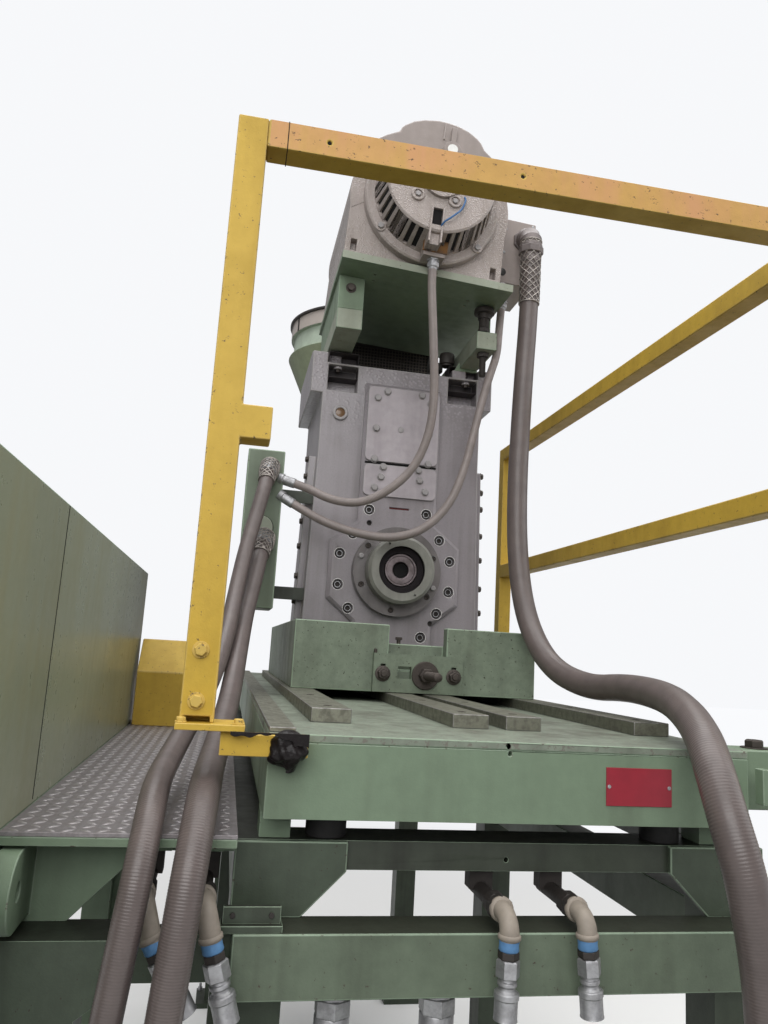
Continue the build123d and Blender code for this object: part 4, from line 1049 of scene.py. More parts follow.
GLASS = (-213, 1299, 2339)
CAP_SPOT = (120, 1344, 2515)
CAP_RIBS = 12


def make_fittings():
    """The sight glass and the ribbed cap on the gearbox's top."""
    ring = Shape().ring(GLASS, FRONTWARD, 40, (16, 0), (26, 0), (26, 7), (23.5, 10), (17, 10), (16, 8))
    make("sight_glass_ring", ring, gear_edge, 0.5, replaced=["gearbox_fittings"])
    glass = Shape().spin(GLASS, FRONTWARD, (36, (16.5, 0), (16.5, 5), (14, 6.2)))
    make("sight_glass", glass, amber, 0)
    cap = Shape().spin(CAP_SPOT, UPWARD, (32, (18, 0), (18, 16), (12, 18), (12, 24)),
                       (36, (22, 24), (26, 27), (26, 48), (24, 54), (16, 58)))
    for k in range(CAP_RIBS):
        cap.where = Matrix.Translation(CAP_SPOT) @ Matrix.Rotation(k * math.tau / CAP_RIBS, 4, "Z")
        cap.block(25, 27.2, -1.6, 1.6, 30, 46)
    make("breather", cap, black_paint, 0.8)


HUB_REACH = 112.0
HUB_HIGH = 72.0
HUB_CHAMFER = 9.0
SEAT_OUT = 54.0
COVER_SCREWS = [-37 + 60 * k for k in range(6)]
BORE_RADIUS = 24.0
BORE_FILL = 18.0


def ring_spots(radius, *angles):
    """Points across and up from the axis, at these angles in degrees."""
    turns = [math.radians(angle) for angle in angles]
    return [(radius * math.cos(turn), AXIS_UP + radius * math.sin(turn)) for turn in turns]


def make_bearing(face):
    front = corners("bearing_cover")[0].y
    flange = front + HUB_HIGH
    grooves = Shape().ring((0, flange, AXIS_UP), FRONTWARD, 64, (104.5, 0), (110, 0), (110, 3), (104.5, 3))
    for across, up in ring_spots(90, 119, -60):
        grooves.rod((across, front + 12, up), FRONTWARD, 3.6, 16, 14)
    for across, up in ring_spots(126, *COVER_SCREWS):
        grooves.rod((across, flange + 10, up), FRONTWARD, 9.5, 14, 20)

    def hub_edge(middle, along_y):
        """The edge round the hub's front."""
        return abs(middle.y - front) < 0.5 and math.hypot(middle.x, middle.z - AXIS_UP) > 100

    cover = dress("bearing_cover", flange_grey, 2.2, grooves, chamfer=(HUB_CHAMFER, hub_edge))
    cover.data.materials.append(bearing_grey)
    hub_finish = len(cover.data.materials) - 1
    for surface in cover.data.polygons:
        middle = TO_MACHINE @ surface.center
        if middle.y < flange - 1 and math.hypot(middle.x, middle.z - AXIS_UP) < HUB_REACH:
            surface.material_index = hub_finish
    seat = face - SEAT_OUT
    deep = seat - front - 7
    # A black sheet on the wall of the seal's recess: painted shade in the recess
    recess_shade = Shape().ring((0, seat, AXIS_UP), FRONTWARD, 64, (72, 0), (73.8, 0), (73.8, deep), (72.6, deep))
    make("seal_recess", recess_shade, seal_black, 0)
    screws = Shape()
    for across, up in ring_spots(126, *COVER_SCREWS):
        screws.socket_screw((across, flange + 9.5, up), FRONTWARD, 7.6, 7)
    make("bearing_cover_screws", screws, dark_steel, 0.3)
    plugs = Shape()
    for across, up in ring_spots(128, 161, -21):
        plugs.spin((across, flange, up), FRONTWARD, (22, (9, 0), (9, 4), (6.5, 7)))
    make("bearing_cover_plugs", plugs, gear_edge, 0.5)
    seal = Shape().ring((0, front + 24, AXIS_UP), FRONTWARD, 64, (54, 0), (73.3, 0), (73.3, 3), (54, 2))
    make("shaft_seal", seal, seal_black, 0.4)
    dress("output_shaft", shaft_steel, 3.5, body="shaft")
    collar = Shape().ring((0, front + 30, AXIS_UP), FRONTWARD, 64,
                          (45, 0), (51.5, 1), (51.5, 8.5), (50.5, 9.5), (45.5, 9.5))
    make("shaft_collar", collar, shaft_steel, 0, body="shaft")
    # A black disc in the shaft's bore: painted shade inside it
    bore_end = corners("output_shaft")[0].y + BORE_FILL
    bore = Shape().rod((0, bore_end, AXIS_UP), FRONTWARD, BORE_RADIUS - 0.4, 4, 32)
    make("shaft_bore_dark", bore, dark_inside, 0, body="shaft")


# Plate that carries the motor

PLATE_HOLES = ((-160, 1064), (-158, 1107), (163, 1110), (162, 1150))
PLATE_HOLE_HALF = 4.5
HINGE_BOLTS_UP = (2699, 2690)
JACK_FOOT = (231, 1140, 0)
JACK_WEB = [(222, 2622), (179, 2540), (262, 2541), (262, 2560)]
JACK_WEB_BACK = (1300, 1310)
STRUT = (252, 257, 1150, 1156, 2622, 2702)


def threads(first, pitch, count, radius):
    """The profile of a thread from this height upwards."""
    profile = []
    for k in range(count):
        profile += [(radius, first + k * pitch), (radius - 1.2, first + 2 + k * pitch)]
    return profile


def make_motor_plate():
    drill = Shape(ON_PLATE)
    for across, back in PLATE_HOLES:
        drill.bar(PLATE_HOLE_HALF, (across, back, -1), (across, back, 14))
    plate = dress("motor_plate", green_paint, 2.0, drill)
    # The plate's faces that look to the front get the paler green
    face_finish(plate, FRONTWARD, green_pale)
    dress("motor_arms", green_pale, 2.2)
    dress("hinge_bar", green_paint, 2.2)
    low, high = corners("hinge_bar")
    middle = (low.x + high.x) / 2 - 2
    front_up, back_up = HINGE_BOLTS_UP
    bolts = Shape().bolt((middle, low.y, front_up), FRONTWARD, 27, 10, washer=17)
    bolts.bolt((middle, high.y, back_up), BACKWARD, 27, 10, washer=17)
    make("hinge_bolts", bolts, dark_steel, 0.7)
    make("jack_web", Shape().slab(JACK_WEB, *JACK_WEB_BACK, "y"), green_paint, 1.2, worn=green_worn)
    top = corners("jackscrew")[1].z
    upper = threads(2638, 4.0, 12, 17) + [(17, top - 20)]
    jack = Shape().spin(JACK_FOOT, UPWARD,
                        (24, (9, 2469), *threads(2470, 4.2, 16, 11), (11, 2540)),
                        (6, (17, 2534), (20, 2536), (20, 2550)), (6, (20, 2622), (20, 2636), (17, 2638)),
                        (24, *upper), (32, (21, top - 36), (21, top - 20), (34, top - 18), (34, top - 6),
                                       (32, top - 1)))
    make("jackscrew_threads", jack, iron_black, 0.5, replaced=["jackscrew"])
    make("plate_strut", Shape().block(*STRUT), green_paint, 0.6)


# Motor, given across and up from its own axis and back as the plate runs

MOTOR_X = -18.0
MOTOR_UP = 249.0
FOOT_X = 257.0
BODY_FRONT = 1010.0
RING_FRONT = 975.0
BELL_FRONT = 865.0
BELL_RADIUS = 190.0
SLOT_HALF = 7.5
SLOT_TURNS = [side * math.radians(15 + 9 * k) for side in (-1, 1) for k in range(9)]
NOTCH_X = (-17, 13)
HOOD_OUTLINE = [(-222, 77), (-188, 104), (-150, 126), (-145, 140), (-137, 150), (-110, 170), (-78, 183),
                (-32, 192), (0, 192), (33, 188), (65, 178), (93, 162), (108, 148), (120, 128), (142, 112),
                (172, 92), (172, 66), (-210, 66)]
DISC_BOLTS = ((-70, -66), (46, -64))
RING_BOLTS = ((-156, -131), (158, -135), (-190, 60), (190, 60))
FOOT_BOLTS = (BODY_FRONT + 40, BODY_FRONT + 480)
FOOT_HALF = (17, 22)
FOOT_TOP = 40
TERMINAL_LOW = 86.0
TERMINAL_FRONT = 1100.0
TERMINAL_SCREWS = ((284, 32), (285, -53), (378, 60), (378, -170))
TERMINAL_PLUG = (285, -126)
EYE_PLUG = (16, 94, 846)
SENSOR_FRONT = RING_FRONT - 58
WIRE_RADIUS = 3.0
WIRE_ROUTE = ((74, -40, 868), (76, -58, 856), (66, -92, 852), (40, -124, 848), (16, -146, 858),
              (14, -166, 892), (20, -178, 915))


def motor_spot(across, up, back):
    return (MOTOR_X + across, back, MOTOR_UP + up)


def motor_block(shape, x0, x1, y0, y1, z0, z1):
    shape.block(MOTOR_X + x0, MOTOR_X + x1, y0, y1, MOTOR_UP + z0, MOTOR_UP + z1)


def make_motor():
    dress("motor_frame", motor_paint, 3.0)
    make_bell()
    hood = Shape(ON_PLATE)
    outline = [(MOTOR_X + across, MOTOR_UP + up) for across, up in HOOD_OUTLINE]
    hood.slab(outline, BELL_FRONT - 6, RING_FRONT, "y")
    make("motor_hood_dressed", hood, motor_plain, 7.0, replaced=["motor_hood"])
    above = Shape(ON_PLATE)
    motor_block(above, -60, 60, 800, 900, 168, 260)
    dress("lifting_eye", motor_plain, 2.0, above)
    dress("motor_bracket", motor_plain, 2.0)
    below = Shape(ON_PLATE).block(200, 420, 1080, 1320, 30, TERMINAL_LOW)
    dress("terminal_box", motor_plain, 3.0, below)
    make_pads()
    bolts = Shape(ON_PLATE)
    for across, up in DISC_BOLTS:
        bolts.bolt(motor_spot(across, up, BELL_FRONT - 2), FRONTWARD, 17, 7, turn=across)
    for across, up in RING_BOLTS:
        bolts.bolt(motor_spot(across, up, RING_FRONT - 4), FRONTWARD, 21, 8, turn=across)
    for back in FOOT_BOLTS:
        wide, deep = FOOT_HALF
        bolts.block(FOOT_X - wide, FOOT_X + wide, back - deep, back + deep, FOOT_TOP - 16, FOOT_TOP)
        bolts.bolt((FOOT_X, back, FOOT_TOP), UPWARD, 28, 11, washer=16)
    make("motor_bolts", bolts, gear_edge, 0.7, "motor_cream")
    plate = Shape(ON_PLATE).block(MOTOR_X - 26, MOTOR_X + 52, SENSOR_FRONT, SENSOR_FRONT + 3, 38, 80)
    make("sensor_plate", plate, brass, 0.6)
    screws = Shape(ON_PLATE)
    screws.socket_screw((MOTOR_X - 8, SENSOR_FRONT, 46), FRONTWARD, 9, 7)
    screws.bolt((MOTOR_X + 34, SENSOR_FRONT, 70), FRONTWARD, 11, 4)
    make("sensor_screws", screws, dark_steel, 0.3)
    wire = Shape(ON_PLATE)
    wire.tube(smooth_line([motor_spot(*spot) for spot in WIRE_ROUTE], 8), WIRE_RADIUS, 10)
    make("sensor_wire", wire, blue_wire, 0, smooth=60)
    cap = Shape(ON_PLATE).rod(motor_spot(*EYE_PLUG), FRONTWARD, 16, 2.5, 28)
    make("lifting_eye_plug", cap, plain("white_plug", (226, 226, 222), 0.4), 0.3, "motor_cream")
    screws = Shape(ON_PLATE)
    for across, up in TERMINAL_SCREWS:
        screws.spin(motor_spot(across, up, TERMINAL_FRONT), FRONTWARD, (18, (5, 0), (4.6, 1.6), (3, 2.6)))
    make("terminal_box_screws", screws, zinc, 0)
    plug = Shape(ON_PLATE)
    spot = motor_spot(*TERMINAL_PLUG, TERMINAL_FRONT)
    plug.spin(spot, FRONTWARD, (26, (13, 0), (13, 2.5), (11, 3.5)))
    make("terminal_box_plug", plug, black_paint, 0.3)


def make_bell():
    """The slotted bell at the motor's front, and a black cone inside it: painted shade seen through the
    slots.
    """
    notch = Shape(ON_PLATE)
    motor_block(notch, *NOTCH_X, BELL_FRONT - 22, BELL_FRONT + 34, -150, -96)
    for turn in SLOT_TURNS:
        notch.where = ON_PLATE @ Matrix.Translation((MOTOR_X, 0, MOTOR_UP)) @ Matrix.Rotation(turn, 4, "Y")
        notch.block(-SLOT_HALF, SLOT_HALF, BELL_FRONT + 8, RING_FRONT - 6,
                    -BELL_RADIUS - 2, -BELL_RADIUS + 34)
    bell = Shape(ON_PLATE)
    bell.spin(motor_spot(0, 0, BODY_FRONT), FRONTWARD,
              (96, (219, 0), (219, 29), (213, 35), (190, 35), (171, 140), (165, 145)),
              (48, (62, 140), (62, 157)))
    make("motor_front_bell_cast", bell, motor_paint, 1.5, cutter=notch, replaced=["motor_front_bell"])
    # Painted shade: a black cone inside the bell
    bell_shade = Shape(ON_PLATE)
    bell_shade.spin(motor_spot(0, 0, RING_FRONT - 6.5), FRONTWARD, (64, (181, 0), (165, 94)))
    make("bell_inside", bell_shade, dark_inside, 0)


def make_pads():
    """Bolt pads, and the housing of the notch under the bell."""
    pads = Shape(ON_PLATE)
    for across, up in DISC_BOLTS:
        spot = motor_spot(across, up, BELL_FRONT)
        pads.ring(spot, FRONTWARD, 32, (13, -1), (21, -1), (21, 5), (19, 7), (13, 7))
        pads.spin(spot, FRONTWARD, (28, (13.5, -1), (13.5, 2)))
    for across, up in RING_BOLTS:
        pads.spin(motor_spot(across, up, RING_FRONT), FRONTWARD, (28, (17, -1), (17, 4), (15.5, 5)))
    left, right = NOTCH_X
    back = BELL_FRONT + 90
    motor_block(pads, left, right, BELL_FRONT + 14, back, -208, -98)
    motor_block(pads, left - 6, left, BELL_FRONT - 4, back, -208, -92)
    motor_block(pads, right, right + 6, BELL_FRONT - 4, back, -208, -92)
    for middle in (-14, 18):
        motor_block(pads, middle, middle + 4, BELL_FRONT - 10, BELL_FRONT - 2, 128, 184)
    make("motor_pads", pads, motor_paint, 1.2)


def smooth_line(route, steps):
    """A line that rounds the corners of a short route, for stiff wires."""
    route = [Vector(point) for point in route]
    line = []
    for k in range(len(route) - 1):
        before = route[max(k - 1, 0)]
        after = route[min(k + 2, len(route) - 1)]
        here, there = route[k], route[k + 1]
        for step in range(steps):
            t = step / steps
            bent = 2 * before - 5 * here + 4 * there - after
            turned = 3 * here - before - 3 * there + after
            line.append(0.5 * (2 * here + (there - before) * t + bent * t * t + turned * t ** 3))
    return line + [route[-1]]


# Conduits: each repeats the route of its tube

RIGHT_ROUTE = [
    (352, 1040, 2880), (352, 1040, 2700), (330, 1022, 2400), (301, 970, 2020), (299, 925, 1790),
    (306, 850, 1640), (324, 730, 1535), (350, 560, 1496), (358, 380, 1508), (335, 190, 1500),
    (298, 55, 1480), (260, -58, 1447), (236, -124, 1402), (228, -170, 1337), (239, -194, 1261),
    (264, -196, 1120), (276, -184, 960), (277, -181, 850)]
LARGE_ROUTE = [
    (-440, 1105, 1851), (-447, 1050, 1812), (-458, 1010, 1735), (-476, 940, 1640), (-487, 820, 1542),
    (-499, 610, 1440), (-512, 400, 1388), (-522, 220, 1358), (-528, 85, 1346), (-530, -10, 1341),
    (-533, -64, 1317), (-537, -107, 1273), (-542, -129, 1217), (-549, -132, 1130), (-558, -129, 1020),
    (-563, -127, 930), (-564, -126, 850)]
SMALL_ROUTE = [
    (-440, 1105, 2070), (-447, 1060, 2030), (-466, 1025, 1930), (-489, 975, 1820), (-507, 905, 1690),
    (-519, 800, 1575), (-541, 630, 1476), (-570, 440, 1406), (-594, 240, 1358), (-603, 75, 1338),
    (-602, -20, 1330), (-602, -66, 1308), (-604, -104, 1270), (-608, -122, 1222), (-617, -126, 1145),
    (-630, -122, 1030), (-636, -124, 940), (-637, -124, 850)]
UPPER_LOOP = [
    (-362, 1150, 2052), (-315, 1138, 2038), (-250, 1104, 2002), (-165, 1072, 1990), (-80, 1048, 2032),
    (-5, 1028, 2110), (32, 1008, 2220), (37, 992, 2335), (22, 970, 2470), (6, 950, 2600),
    (-2, 944, 2680), (-1, 944, 2724)]
LOWER_LOOP = [
    (-362, 1150, 1990), (-315, 1138, 1962), (-245, 1115, 1928), (-155, 1092, 1902), (-55, 1072, 1893),
    (40, 1060, 1925), (118, 1058, 2010), (163, 1066, 2130), (192, 1078, 2255), (222, 1097, 2375),
    (252, 1122, 2470), (284, 1152, 2555), (297, 1180, 2645), (305, 1194, 2708), (308, 1196, 2746)]


def smooth_route(name, route):
    """Points along the smooth line of a route, in the row frame."""
    curve = bpy.data.curves.new(name, "CURVE")
    curve.dimensions = "3D"
    curve.resolution_u = 32
    spline = curve.splines.new("NURBS")
    spline.points.add(len(route) - 1)
    for point, place in zip(spline.points, route):
        point.co = (*(TO_ROW @ Vector(place)), 1)
    spline.order_u = 3
    spline.use_endpoint_u = True
    holder = bpy.data.objects.new(name, curve)
    bpy.context.scene.collection.objects.link(holder)
    bpy.context.view_layer.update()
    made = bpy.data.meshes.new_from_object(holder.evaluated_get(bpy.context.evaluated_depsgraph_get()))
    line = [vertex.co.copy() for vertex in made.vertices]
    bpy.data.objects.remove(holder)
    return line


def length_of(line):
    return sum((after - here).length for here, after in zip(line, line[1:]))


def stepped(line, step):
    """The line at even steps, from its first point to its last."""
    total = length_of(line)
    count = max(2, round(total / step))
    marks = [total * k / count for k in range(count + 1)]
    spots = []
    passed = 0.0
    k = 0
    for mark in marks:
        while k < len(line) - 2 and passed + (line[k + 1] - line[k]).length < mark:
            passed += (line[k + 1] - line[k]).length
            k += 1
        run = line[k + 1] - line[k]
        spots.append(line[k] + run * min(1.0, (mark - passed) / run.length))
    return spots


# Heights of the rings of one rib, from its crest to its groove and back
WAVE = (0.0, 0.55, 1.0, 0.55)


def make_conduit(name, route, diameter, rib, depth, sides, skin, grip=None):
    """A ribbed conduit along its route: its diameter, the pitch and depth of its ribs and its
    sides, and how its woven grip reaches back, runs along it and swells."""
    line = smooth_route(name, route)
    machine_line = [TO_MACHINE @ point for point in line]
    spots = stepped(machine_line, rib / len(WAVE))
    radii = [diameter / 2 - depth * WAVE[k % len(WAVE)] for k in range(len(spots))]
    tube = Shape().tube(spots, radii, sides)
    piece = make(name + "_ribbed", tube, skin, 0, replaced=[name], smooth=80)
    woven = []
    if grip:
        woven = [make_grip(name + "_grip", machine_line, diameter / 2, *grip)]
    length_of(line)
    return machine_line


GRIP_STEP = 2.5
GRIP_WIRES = 9
GRIP_OUT = 2.4
GRIP_WIRE_RADIUS = 1.55
GRIP_RING_RADIUS = 2.0
GRIP_RING_STEPS = 32


def make_grip(name, line, radius, back, long, swell):
    """A woven wire grip, two sets of wires that wind round and cross. It starts behind the
    conduit's end, over the fitting, where it is wider by the swell."""
    behind = (line[0] - line[1]).normalized()
    steps = round(back / GRIP_STEP)
    spots = [line[0] + behind * (back * (steps - k) / steps) for k in range(steps)]
    spots += stepped(line, GRIP_STEP)[:round(long / GRIP_STEP)]
    winds = (long + back) / (math.tau * radius) * 0.9
    ahead = (spots[1] - spots[0]).normalized()
    side = ahead.orthogonal().normalized()
    frames = []
    for k, here in enumerate(spots):
        run = (spots[min(k + 1, len(spots) - 1)] - spots[max(k - 1, 0)]).normalized()
        side = ahead.rotation_difference(run) @ side
        ahead = run
        frames.append((here, side.copy(), ahead.cross(side)))

    def round_spot(k, angle, out):
        here, side, other = frames[k]
        return here + out * (math.cos(angle) * side + math.sin(angle) * other)

    last = len(frames) - 1
    grip = Shape()
    for hand in (-1, 1):
        for wire in range(GRIP_WIRES):
            path = []
            for k in range(last + 1):
                angle = math.tau * (hand * winds * k / last + wire / GRIP_WIRES)
                over = 0.7 * math.sin(angle * GRIP_WIRES * 0.5 + (0 if hand > 0 else math.pi))
                wide = min(1.0, max(0.0, (k - steps - 2) / 9))
                out = radius + GRIP_OUT + over + swell * (1 - wide * wide * (3 - 2 * wide))
                path.append(round_spot(k, angle, out))
            grip.tube(path, GRIP_WIRE_RADIUS, 5)
    for k, out in ((0, radius + GRIP_OUT + swell), (last, radius + GRIP_OUT)):
        angles = [math.tau * j / GRIP_RING_STEPS for j in range(GRIP_RING_STEPS + 1)]
        grip.tube([round_spot(k, angle, out) for angle in angles], GRIP_RING_RADIUS, 6)
    return make(name, grip, grip_wire, 0, smooth=70)


def connector(shape, point, direction, radius, long):
    """A conduit fitting from the conduit's end to the box, with its gland nut and locknut."""
    lip, neck, nut = radius + 3.4, radius + 4, radius + 8.5
    inner, outer = nut - 1, nut + 1
    shape.spin(point, direction, (32, (radius + 0.6, -9), (lip, -7), (lip, 0), (radius + 5, 1)),
               (8, (nut - 2, 0), (nut, 2), (nut, long * 0.42), (nut - 2, long * 0.42 + 2)),
               (32, (neck, long * 0.42), (neck, long * 0.66)),
               (6, (inner, long * 0.64), (outer, long * 0.66), (outer, long * 0.92), (inner, long * 0.94)),
               (32, (neck, long * 0.9), (neck, long + 4)))


# Radii
RIGHT = 30.15
LARGE = 24.15
SMALL = 21.1
LOOP = 13.35
LOOP_TIP = 10.4


def make_conduits():
    right = make_conduit("conduit_right", RIGHT_ROUTE, 2 * RIGHT, 4.6, 0.35, 22, conduit_skin,
                         grip=(36, 185, 2.5))
    large = make_conduit("conduit_left_large", LARGE_ROUTE, 2 * LARGE, 3.8, 0.45, 20,
                         conduit_skin, grip=(38, 62, 6.5))
    small = make_conduit("conduit_left_small", SMALL_ROUTE, 2 * SMALL, 3.8, 0.4, 18,
                         conduit_skin, grip=(38, 50, 6.0))
    loops = [make_conduit(name, route, 2 * LOOP, 4.2, 0.45, 14, loop_skin)
             for name, route in (("conduit_loop_upper", UPPER_LOOP), ("conduit_loop_lower", LOWER_LOOP))]
    silver = Shape()
    for line in loops:
        silver.spin(line[0], line[0] - line[1],
                    (28, (13.9, -8), (15.4, -6), (15.4, 30), (18.5, 32), (18.5, 46)))
    for line, radius in ((large, LARGE), (small, SMALL)):
        sleeve, collar = radius + 3, radius + 5.5
        silver.spin(line[0], line[0] - line[1],
                    (32, (radius + 0.6, -9), (sleeve, -7), (sleeve, 20), (collar, 22), (collar, 48)))
    for line, radius, long in ((loops[0], LOOP_TIP, 34), (loops[1], LOOP_TIP, 30),
                               (right, RIGHT, 45), (large, LARGE, 45), (small, SMALL, 45)):
        connector(silver, line[-1], line[-1] - line[-2], radius, long)
    make("conduit_connectors", silver, zinc, 0.7, replaced=["conduit_fittings"])
    make_elbow()


ELBOW_X = 352.0
ELBOW_Y = 1040.0
ELBOW_UP = 2900.0
ELBOW_BEND = 50.0
ELBOW_END = 1100.0
ELBOW_STEPS = 14


def make_elbow():
    """The angled connector that turns the right conduit into the terminal box."""
    elbow = Shape().spin((ELBOW_X, ELBOW_Y, ELBOW_UP - 36), UPWARD, (40, (30.5, -22), (32, -20), (32, 8)),
                         (8, (38, 7), (41, 9), (41, 30), (38, 33)))
    path = [(ELBOW_X, ELBOW_Y, ELBOW_UP - 6)]
    radii = [36.5]
    for k in range(ELBOW_STEPS + 1):
        angle = math.pi / 2 * k / ELBOW_STEPS
        back, up = 1 - math.cos(angle), math.sin(angle)
        path.append((ELBOW_X, ELBOW_Y + ELBOW_BEND * back, ELBOW_UP + ELBOW_BEND * up))
        radii.append(37.5 if k % 4 == 0 else 35)
    path.append((ELBOW_X, ELBOW_END + 4, ELBOW_UP + ELBOW_BEND))
    radii.append(36)
    elbow.tube(path, radii, 36)
    elbow.spin((ELBOW_X, ELBOW_END, ELBOW_UP + ELBOW_BEND), FRONTWARD, (8, (43, -1), (43, 6), (40, 9)))
    make("conduit_elbow", elbow, elbow_grey, 0.8)


# Electrical boxes

CAP_UP = 1905
WIREWAY_PARTS = 4
WIREWAY_SEAM_HALF = 1.5


def make_boxes():
    low, high = corners("junction_box")
    dress("junction_box", green_box, 4.0)
    middle = ((low.x + high.x) / 2, low.y, CAP_UP)
    rim = Shape().ring(middle, FRONTWARD, 40, (36, -0.5), (38.5, -0.5), (38.5, 0.6), (36, 0.6))
    make("junction_box_cap_seam", rim, dark_inside, 0)
    cap = Shape().spin(middle, FRONTWARD, (40, (36, 0), (36, 9), (33, 12), (12, 13)))
    make("junction_box_cap", cap, green_pale, 0.6)
    dress("box_brackets", green_oily_shaded, 1.0, worn=False)
    low, high = corners("wireway")
    seams = Shape()
    for k in range(1, WIREWAY_PARTS):
        middle = low.x + k * (high.x - low.x) / WIREWAY_PARTS
        sides = (middle - WIREWAY_SEAM_HALF, middle + WIREWAY_SEAM_HALF)
        seams.block(*sides, low.y - 1, low.y + 1.5, low.z - 1, high.z + 1)
        seams.block(*sides, low.y + 1.5, high.y + 1, high.z - 1.5, high.z + 1)
    dress("wireway", green_box, 2.0, seams)


# Belt guard, hopper and barrel behind the gearbox

MESH_PITCH = 12.7
MESH_HALF = 1.1
UPRIGHTS_OUT = 4
ROWS_OUT = 6.2
GUARD_BAR_HALF = 9
GUARD_STEP_UP = PLATE_UP + 50
GEAR_BACK = 1779.0


def make_belt_guard():
    """The guard of wire mesh in its frame. It is deep over the plate and short behind the gearbox."""
    low, high = corners("belt_guard")
    dress("belt_guard", wire_mesh, 1.5)
    wires = Shape()
    for k in range(int((high.x - low.x) / MESH_PITCH) + 1):
        across = low.x + k * MESH_PITCH
        for back, bottom, top in ((high.y + UPRIGHTS_OUT, low.z, high.z),
                                  (low.y - UPRIGHTS_OUT, GUARD_STEP_UP, high.z),
                                  (GEAR_BACK - UPRIGHTS_OUT, low.z, GUARD_STEP_UP)):
            wires.bar(MESH_HALF, (across, back, bottom), (across, back, top))
    for k in range(int((high.z - low.z) / MESH_PITCH) + 1):
        up = low.z + k * MESH_PITCH
        front = low.y if up > GUARD_STEP_UP else GEAR_BACK
        for back in (high.y + ROWS_OUT, front - ROWS_OUT):
            wires.bar(MESH_HALF, (low.x, back, up), (high.x, back, up))
        for across in (low.x - UPRIGHTS_OUT, high.x + UPRIGHTS_OUT):
            wires.bar(MESH_HALF, (across, front, up), (across, high.y, up))
    make("belt_guard_mesh", wires, mesh_wire, 0)
    bars = Shape()
    for across in (low.x, high.x):
        for bottom, top, front in ((low.z, GUARD_STEP_UP, GEAR_BACK), (GUARD_STEP_UP, high.z, low.y)):
            for back in (front, high.y):
                bars.bar(GUARD_BAR_HALF, (across, back, bottom), (across, back, top))
    for up, front in ((low.z, GEAR_BACK), (GUARD_STEP_UP, low.y), (high.z - GUARD_BAR_HALF, low.y)):
        for back in (front, high.y):
            bars.bar(GUARD_BAR_HALF, (low.x, back, up), (high.x, back, up))
        for across in (low.x, high.x):
            bars.bar(GUARD_BAR_HALF, (across, front, up), (across, high.y, up))
    make("belt_guard_frame", bars, black_paint, 1.0, "mesh_black")


HOPPER_X = -30.0
HOPPER_Y = 2279.0
HOPPER_FOOT = (HOPPER_X, HOPPER_Y, 0)
HOPPER_NECK_HALF = 80.0
HOPPER_FLANGE_HALF = 98.0
HOPPER_NECK_UP = 2150.0
HOPPER_CONE_UP = 2870.0
HOPPER_NARROW_UP = 2326.0
HOPPER_RING_UP = 2884.0
HOPPER_BAND_UP = 2966.0
HOPPER_TOP = 3042.0
HOPPER_CONE_R = 324.0
HOPPER_RING_R = 303.0
HOPPER_BAND_R = 318.0
HOPPER_RIM_R = 328.0
HOPPER_SIDES = 72
HOPPER_STRAPS = 6


def make_hopper():
    cone_r, ring_r, band_r, rim_r = HOPPER_CONE_R, HOPPER_RING_R, HOPPER_BAND_R, HOPPER_RIM_R
    cone = Shape().spin(HOPPER_FOOT, UPWARD,
                        (HOPPER_SIDES, (HOPPER_NECK_HALF, HOPPER_NECK_UP - 4),
                         (HOPPER_NECK_HALF, HOPPER_NARROW_UP),
                         (cone_r - 2, HOPPER_CONE_UP - 4), (cone_r, HOPPER_CONE_UP),
                         (cone_r - 2, HOPPER_CONE_UP + 4), (ring_r, HOPPER_RING_UP)))
    throat_up = corners("feed_throat")[1].z
    for half, top in ((HOPPER_NECK_HALF, HOPPER_NECK_UP), (HOPPER_FLANGE_HALF, throat_up + 14)):
        cone.block(HOPPER_X - half, HOPPER_X + half, HOPPER_Y - half, HOPPER_Y + half, throat_up, top)
    make("hopper_cone", cone, hopper_green, 1.5, replaced=["feed_hopper"], worn=green_worn)
    ring = Shape().spin(HOPPER_FOOT, UPWARD,
                        (HOPPER_SIDES, (ring_r, HOPPER_RING_UP - 1), (ring_r, HOPPER_BAND_UP - 3),
                         (band_r, HOPPER_BAND_UP), (band_r, HOPPER_BAND_UP + 2)))
    make("hopper_ring", ring, hopper_pale, 0)
    band = Shape().spin(HOPPER_FOOT, UPWARD,
                        (HOPPER_SIDES, (band_r, HOPPER_BAND_UP), (band_r, HOPPER_TOP - 8)))
    make("hopper_band", band, clear_band, 0)
    rim = Shape().spin(HOPPER_FOOT, UPWARD,
                       (HOPPER_SIDES, (band_r - 2, HOPPER_TOP - 14), (rim_r, HOPPER_TOP - 13),
                        (rim_r, HOPPER_TOP - 3), (band_r, HOPPER_TOP)))
    make("hopper_rim", rim, iron_black, 0.8)
    straps = Shape()
    for k in range(HOPPER_STRAPS):
        turn = (k + 0.35) * math.tau / HOPPER_STRAPS
        straps.where = Matrix.Translation(HOPPER_FOOT) @ Matrix.Rotation(turn, 4, "Z")
        straps.block(band_r - 5, band_r + 2, -6, 6, HOPPER_BAND_UP + 2, HOPPER_TOP - 8)
    make("hopper_straps", straps, iron_black, 0.8)


BARREL_BANDS = 6
BAND_INSET = 70
BAND_HALF = 12


